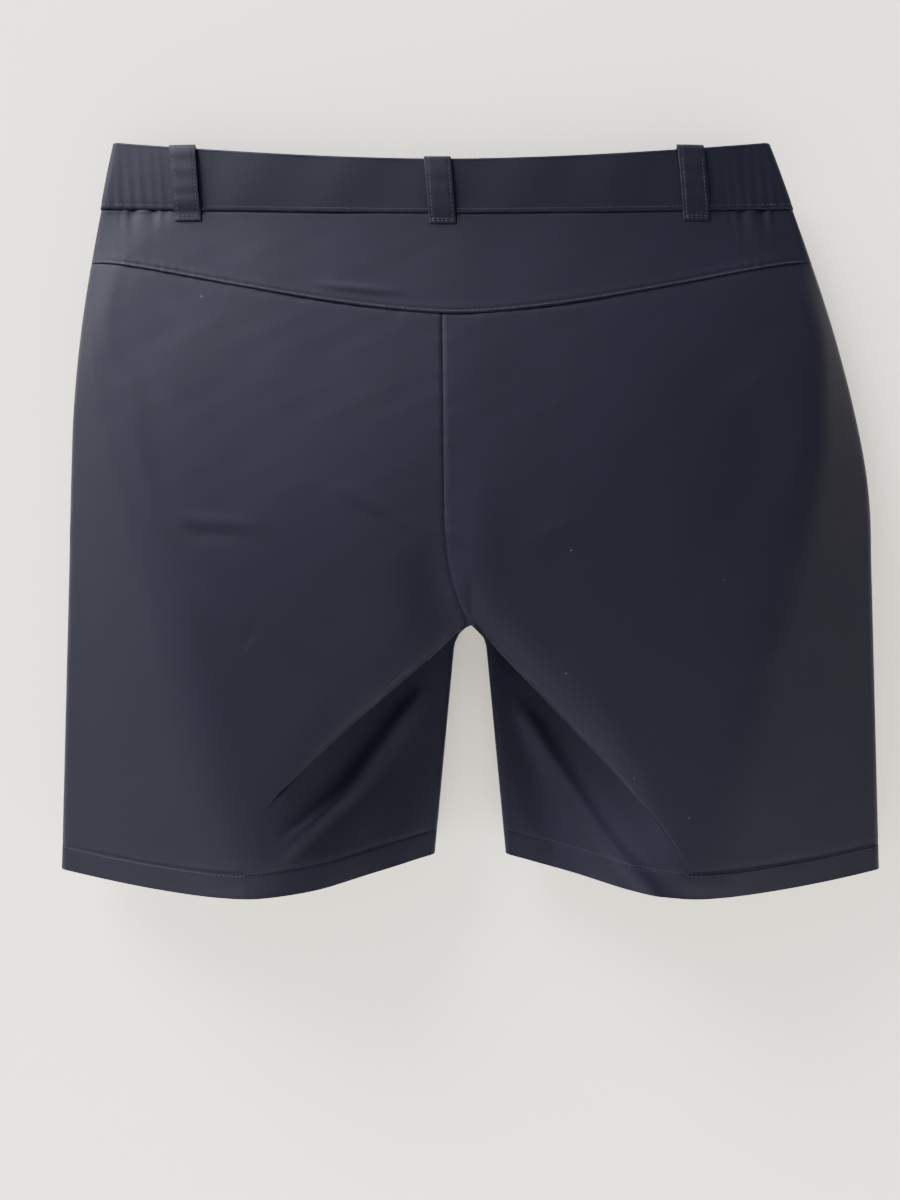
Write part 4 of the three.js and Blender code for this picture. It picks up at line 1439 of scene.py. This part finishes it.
def fly_strip(hang, start, end, top, bottom, outer_y, lift=None):
    """An upright strip beside the fly, flat unless a lift is given."""

    def surface(u, v):
        across = mix(start, end, u)
        z = mix(top, bottom, v)
        x = hang.centre_x(z) + across
        raised = lift(across) if lift else 0.0
        return x, outer_y - raised + 0 * z, z

    return surface


def make_fly(panels):
    hang = panels.hang
    cloth = shell_cloth()
    face = PLACKET_HIGH.y - 1 * MM
    top, bottom = PLACKET_HIGH.z, PLACKET_LOW.z
    hinge = hang.placket_hinge

    def placket_lift(across):
        rise = 1.3 * MM * ease((hinge - across) / (7 * MM))
        return rise - 0.35 * MM * bump(across + 8 * MM, 0.8 * MM)

    placket = fly_strip(hang, -8 * MM, hinge, top, bottom, face, placket_lift)
    cloth_piece("fly_placket_cloth", placket, 40, 60, (0, -1, 0), cloth, "fly_placket", body="fly_placket")
    stitch_row("stitches_placket", [(placket, lambda t: (0.12, mix(0.01, 0.99, t)))], (0, -1, 0),
               thread_material(), body="fly_placket")
    shield_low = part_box("fly_shield")[0]
    shield = fly_strip(hang, -20 * MM, hinge + 2 * MM, top, shield_low.z, shield_low.y)
    cloth_piece("fly_shield_cloth", shield, 30, 50, (0, -1, 0), cloth, "fly_shield")
    front = panels.front_panel(1)

    def j_line(t):
        return 0.055, mix(0.005, 0.28, t)

    stitch_row("stitches_fly_curve", [(front, j_line)], (0, -1, 0), thread_material())
    for name, side in SIDES.items():
        low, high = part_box(f"zip_tape_{name}")
        near = 6 * MM + side * 3.6 * MM
        far = near + side * 10 * MM
        tape = fly_strip(hang, min(near, far), max(near, far), high.z, low.z, low.y)
        cloth_piece(f"zip_tape_{name}_weave", tape, 12, 60, (0, -1, 0), tape_cloth(), f"zip_tape_{name}",
                    thickness=0.5 * MM, declare=False)


def make_tab(panels):
    """The waistband tab over the snap, with its rounded end and edge stitching."""
    hang = panels.hang
    height = hang.band_height / 2 - 0.2 * MM
    middle = hang.front_top_centre - hang.band_height / 2
    root_y = TAB_HIGH.y - 1.3 * MM
    raise_by = root_y - TAB_LOW.y

    def surface(u, v):
        across = mix(-16 * MM, hang.placket_hinge, crowd(u, 0.7))
        end = quarter_round((across + 16.6 * MM) / (11 * MM))
        half = height * mix(0.35, 1, end)
        share = 2 * v - 1
        z = middle - half * share
        raised = raise_by * ease((hang.placket_hinge - across) / (12 * MM))
        edge = 0.4 * MM * np.abs(share) ** 8
        x = hang.centre_x(z) + across
        return x, root_y - raised + edge, z

    cloth_piece("waistband_tab_cloth", surface, 50, 40, (0, -1, 0), shell_cloth(), "waistband_tab",
                body="fly_placket", thickness=1.2 * MM)
    rows = [
        (surface, lambda t: (mix(0.06, 0.99, t), 0.07)),
        (surface, lambda t: (mix(0.06, 0.99, t), 0.93)),
        (surface, lambda t: (0.06, mix(0.07, 0.93, t))),
    ]
    stitch_row("stitches_tab", rows, (0, -1, 0), thread_material(), body="fly_placket")


def spun(name, profile, centre, material, node, body, steps=48):
    """A round fitting: a profile of radius and depth spun about a line along Y."""
    shape = bmesh.new()
    points = [shape.verts.new((radius, depth, 0)) for radius, depth in profile]
    edges = [shape.edges.new(pair) for pair in zip(points, points[1:])]
    bmesh.ops.spin(shape, geom=points + edges, cent=(0, 0, 0), axis=(0, 1, 0), angle=2 * math.pi,
                   steps=steps, use_merge=True, use_duplicate=False)
    bmesh.ops.remove_doubles(shape, verts=shape.verts, dist=1e-6)
    bmesh.ops.recalc_face_normals(shape, faces=shape.faces)
    bmesh.ops.translate(shape, verts=shape.verts, vec=centre)
    mesh = mesh_from(shape, name)
    mesh.shade_smooth()
    mesh.materials.append(material)
    piece = new_object(name, mesh)
    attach(piece, body)
    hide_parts(node)
    return piece


def make_snap():
    metal = metal_material()
    bodies = {"snap_cap": "fly_placket", "snap_socket": "fly_placket", "snap_stud": "shorts"}
    for node, body in bodies.items():
        low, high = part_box(node)
        centre = Vector(((low.x + high.x) / 2, low.y, (low.z + high.z) / 2))
        radius = (high.x - low.x) / 2
        deep = high.y - low.y
        if node == "snap_cap":
            profile = [(0, 0.12 * deep), (radius * 0.55, 0.10 * deep), (radius * 0.72, 0.02 * deep),
                       (radius * 0.86, 0.0), (radius * 0.96, 0.18 * deep), (radius, 0.5 * deep),
                       (radius * 0.97, 0.85 * deep), (radius * 0.9, deep), (0, deep)]
        elif node == "snap_socket":
            inner = 2.2 * MM
            profile = [(inner, 0.2 * deep), (inner * 1.15, 0), (radius * 0.95, 0), (radius, 0.2 * deep),
                       (radius, 0.8 * deep), (radius * 0.95, deep), (inner * 1.15, deep),
                       (inner, 0.8 * deep), (inner, 0.2 * deep)]
        else:
            post = 1.8 * MM
            profile = [(0, 0), (post * 0.8, 0), (post, 0.12 * deep), (post * 0.86, 0.5 * deep),
                       (post, 0.78 * deep), (radius * 0.95, 0.8 * deep), (radius, 0.9 * deep),
                       (radius * 0.95, deep), (0, deep)]
        spun(f"{node}_turned", profile, centre, metal, node, body)


def make_zip():
    """The zip's own solids are kept; they get their finishes here."""
    plastic, metal = plastic_material(), metal_material()
    finishes = {
        "zip_teeth_left": plastic,
        "zip_teeth_right": plastic,
        "zip_bottom_stop": metal,
        "zip_slider": metal,
        "zip_puller": metal,
    }
    for node, material in finishes.items():
        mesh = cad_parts[node].data
        if not mesh.materials:
            mesh.materials.append(material)
        for index in range(len(mesh.materials)):
            mesh.materials[index] = material


def make_labels():
    cloth = label_cloth()
    for node, name in (("size_label", "size_label_tape"), ("care_label", "care_label_tape")):
        low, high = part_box(node)

        def surface(u, v, low=low, high=high):
            x = mix(low.x, high.x, u)
            z = mix(high.z, low.z, v)
            hang_in = (high.y - low.y - 0.5 * MM) * v
            curl = 0.6 * MM * np.sin(np.pi * u) * v
            return x, high.y - hang_in - curl, z

        cloth_piece(name, surface, 24, 30, (0, 1, 0), cloth, node, thickness=0.4 * MM)


# ---- stage ----


def area_light(name, place, target, size, power, colour):
    data = bpy.data.lights.new(name, "AREA")
    data.shape = "RECTANGLE"
    data.size, data.size_y = size
    data.energy = power
    data.color = colour
    light = bpy.data.objects.new(name, data)
    bpy.context.scene.collection.objects.link(light)
    light.location = place
    light.rotation_euler = (Vector(target) - Vector(place)).to_track_quat("-Z", "Y").to_euler()
    return light


def stage_plane(name, corners, material):
    shape = bmesh.new()
    bmesh.ops.create_grid(shape, x_segments=1, y_segments=1, size=0.5)
    for vert in shape.verts:
        u, v = vert.co.x + 0.5, vert.co.y + 0.5
        low = corners[0].lerp(corners[1], u)
        high = corners[3].lerp(corners[2], u)
        vert.co = low.lerp(high, v)
    mesh = mesh_from(shape, name)
    mesh.materials.append(material)
    plane = new_object(name, mesh)
    return plane


def wall_material():
    """Matt paint that can be looked through from behind."""
    material, tree, shader = start_material("stage_paint")
    shader.inputs["Roughness"].default_value = 0.9
    shader.inputs["Base Color"].default_value = (*colours().wall, 1)
    side = tree.nodes.new("ShaderNodeNewGeometry")
    path = tree.nodes.new("ShaderNodeLightPath")
    seen_through = math_node(tree, "MAXIMUM", side.outputs["Backfacing"], path.outputs["Is Shadow Ray"])
    clear = tree.nodes.new("ShaderNodeBsdfTransparent")
    chosen = tree.nodes.new("ShaderNodeMixShader")
    tree.links.new(seen_through, chosen.inputs[0])
    tree.links.new(shader.outputs[0], chosen.inputs[1])
    tree.links.new(clear.outputs[0], chosen.inputs[2])
    tree.links.new(chosen.outputs[0], tree.nodes["Material Output"].inputs[0])
    return material


def make_stage():
    scene = bpy.context.scene
    paint = wall_material()
    wall_y = CAD_BOX[0][1] - 6 * MM
    floor_z = -0.95
    wide, tall, deep = 3.0, 2.2, 3.2
    left_foot = Vector((wide, wall_y, floor_z))
    right_foot = Vector((-wide, wall_y, floor_z))
    stage_plane("wall", [left_foot, right_foot, Vector((-wide, wall_y, tall)),
                         Vector((wide, wall_y, tall))], paint)
    stage_plane("floor", [right_foot, left_foot, Vector((wide, deep, floor_z)),
                          Vector((-wide, deep, floor_z))], paint)
    middle = (0, 0, -0.2)
    area_light("window", (2.25, 1.1, 2.9), middle, (2.3, 2.3), 760, (1.0, 0.985, 0.96))
    area_light("room", (0.4, 2.6, 1.6), middle, (2.6, 1.6), 14, (1.0, 0.98, 0.95))
    area_light("front_fill", (-0.6, -1.9, 1.5), middle, (1.6, 1.6), 330, (1.0, 0.99, 0.97))
    world = bpy.data.worlds.new("room_light")
    world.use_nodes = True
    world.node_tree.nodes["Background"].inputs[0].default_value = (0.93, 0.94, 1.0, 1)
    world.node_tree.nodes["Background"].inputs[1].default_value = 0.26
    scene.world = world
    lens = bpy.data.cameras.new("camera")
    lens.sensor_fit = "HORIZONTAL"
    lens.sensor_width = 36
    distance = 0.74
    width_in_view = 0.567
    lens.lens = lens.sensor_width * distance / width_in_view
    lens.clip_start = 0.02
    camera = bpy.data.objects.new("camera", lens)
    scene.collection.objects.link(camera)
    camera.location = (-0.0006, 0.008 + distance, -0.264)
    camera.rotation_euler = (math.radians(90), 0, math.radians(180))
    scene.camera = camera


# ---- operators, one for each piece or group of like pieces ----


class SHORTS_OT_stage(bpy.types.Operator):
    """Sets up the wall, the floor, the lights and the camera"""

    bl_idname = "shorts.stage"
    bl_label = "Stage"

    def execute(self, context):
        make_stage()
        return {"FINISHED"}


class SHORTS_OT_back_panels(bpy.types.Operator):
    """Adds both back legs with the folds under the seat"""

    bl_idname = "shorts.back_panels"
    bl_label = "Back Panels"
    bl_options = {"REGISTER", "UNDO"}

    def execute(self, context):
        make_back_panels(Panels(Hang()))
        return {"FINISHED"}


class SHORTS_OT_front_panels(bpy.types.Operator):
    """Adds both front legs"""

    bl_idname = "shorts.front_panels"
    bl_label = "Front Panels"
    bl_options = {"REGISTER", "UNDO"}

    def execute(self, context):
        make_front_panels(Panels(Hang()))
        return {"FINISHED"}


class SHORTS_OT_yoke(bpy.types.Operator):
    """Adds the yoke between the waistband and the seat"""

    bl_idname = "shorts.yoke"
    bl_label = "Back Yoke"
    bl_options = {"REGISTER", "UNDO"}

    def execute(self, context):
        make_yoke(Panels(Hang()))
        return {"FINISHED"}


class SHORTS_OT_waistband(bpy.types.Operator):
    """Adds the waistband's outer pieces"""

    bl_idname = "shorts.waistband"
    bl_label = "Waistband"
    bl_options = {"REGISTER", "UNDO"}

    def execute(self, context):
        make_waistband(Panels(Hang()))
        return {"FINISHED"}


class SHORTS_OT_facings(bpy.types.Operator):
    """Adds the facings and the side elastic"""

    bl_idname = "shorts.facings"
    bl_label = "Waistband Facings"
    bl_options = {"REGISTER", "UNDO"}

    def execute(self, context):
        make_facings(Panels(Hang()))
        return {"FINISHED"}


class SHORTS_OT_belt_loops(bpy.types.Operator):
    """Adds the five belt loops and their stitches"""

    bl_idname = "shorts.belt_loops"
    bl_label = "Belt Loops"
    bl_options = {"REGISTER", "UNDO"}

    def execute(self, context):
        make_belt_loops(Panels(Hang()))
        return {"FINISHED"}


class SHORTS_OT_hems(bpy.types.Operator):
    """Adds the turned-up cloth inside the hems"""

    bl_idname = "shorts.hems"
    bl_label = "Hem Facings"
    bl_options = {"REGISTER", "UNDO"}

    def execute(self, context):
        make_hems(Panels(Hang()))
        return {"FINISHED"}


class SHORTS_OT_topstitching(bpy.types.Operator):
    """Adds the rows of stitches"""

    bl_idname = "shorts.topstitching"
    bl_label = "Topstitching"
    bl_options = {"REGISTER", "UNDO"}

    def execute(self, context):
        make_topstitching(Panels(Hang()))
        return {"FINISHED"}


class SHORTS_OT_pockets(bpy.types.Operator):
    """Adds the pocket facings and bags"""

    bl_idname = "shorts.pockets"
    bl_label = "Pockets"
    bl_options = {"REGISTER", "UNDO"}

    def execute(self, context):
        make_pockets(Panels(Hang()))
        return {"FINISHED"}


class SHORTS_OT_fly(bpy.types.Operator):
    """Adds the placket, the shield and the zip tapes"""

    bl_idname = "shorts.fly"
    bl_label = "Fly"
    bl_options = {"REGISTER", "UNDO"}

    def execute(self, context):
        make_fly(Panels(Hang()))
        return {"FINISHED"}


class SHORTS_OT_tab(bpy.types.Operator):
    """Adds the tab over the snap"""

    bl_idname = "shorts.tab"
    bl_label = "Waistband Tab"
    bl_options = {"REGISTER", "UNDO"}

    def execute(self, context):
        make_tab(Panels(Hang()))
        return {"FINISHED"}


class SHORTS_OT_snap(bpy.types.Operator):
    """Adds the press snap's parts"""

    bl_idname = "shorts.snap"
    bl_label = "Snap"
    bl_options = {"REGISTER", "UNDO"}

    def execute(self, context):
        make_snap()
        return {"FINISHED"}


class SHORTS_OT_zip(bpy.types.Operator):
    """Gives the zip its finishes"""

    bl_idname = "shorts.zip"
    bl_label = "Zip"
    bl_options = {"REGISTER", "UNDO"}

    def execute(self, context):
        make_zip()
        return {"FINISHED"}


class SHORTS_OT_labels(bpy.types.Operator):
    """Adds the blank labels"""

    bl_idname = "shorts.labels"
    bl_label = "Labels"
    bl_options = {"REGISTER", "UNDO"}

    def execute(self, context):
        make_labels()
        return {"FINISHED"}


PIECES = (
    SHORTS_OT_back_panels,
    SHORTS_OT_front_panels,
    SHORTS_OT_yoke,
    SHORTS_OT_waistband,
    SHORTS_OT_facings,
    SHORTS_OT_belt_loops,
    SHORTS_OT_hems,
    SHORTS_OT_topstitching,
    SHORTS_OT_pockets,
    SHORTS_OT_fly,
    SHORTS_OT_tab,
    SHORTS_OT_snap,
    SHORTS_OT_zip,
    SHORTS_OT_labels,
)


class SHORTS_PT_sidebar(bpy.types.Panel):
    """Lists the pieces in the sidebar"""

    bl_label = "Shorts"
    bl_idname = "SHORTS_PT_sidebar"
    bl_space_type = "VIEW_3D"
    bl_region_type = "UI"
    bl_category = "Shorts"

    def draw(self, context):
        layout = self.layout
        layout.operator(SHORTS_OT_stage.bl_idname)
        for piece in PIECES:
            layout.operator(piece.bl_idname)


CLASSES = (ShortsSizes, ShortsColours, SHORTS_OT_stage, *PIECES, SHORTS_PT_sidebar)


def register():
    for cls in CLASSES:
        bpy.utils.register_class(cls)
    bpy.types.Scene.shorts_sizes = bpy.props.PointerProperty(type=ShortsSizes)
    bpy.types.Scene.shorts_colours = bpy.props.PointerProperty(type=ShortsColours)


def unregister():
    del bpy.types.Scene.shorts_colours
    del bpy.types.Scene.shorts_sizes
    for cls in reversed(CLASSES):
        bpy.utils.unregister_class(cls)


def main():
    register()
    bpy.ops.shorts.stage()
    for piece in PIECES:
        getattr(bpy.ops.shorts, piece.bl_idname.split(".")[1])()


if __name__ == "__main__":
    main()
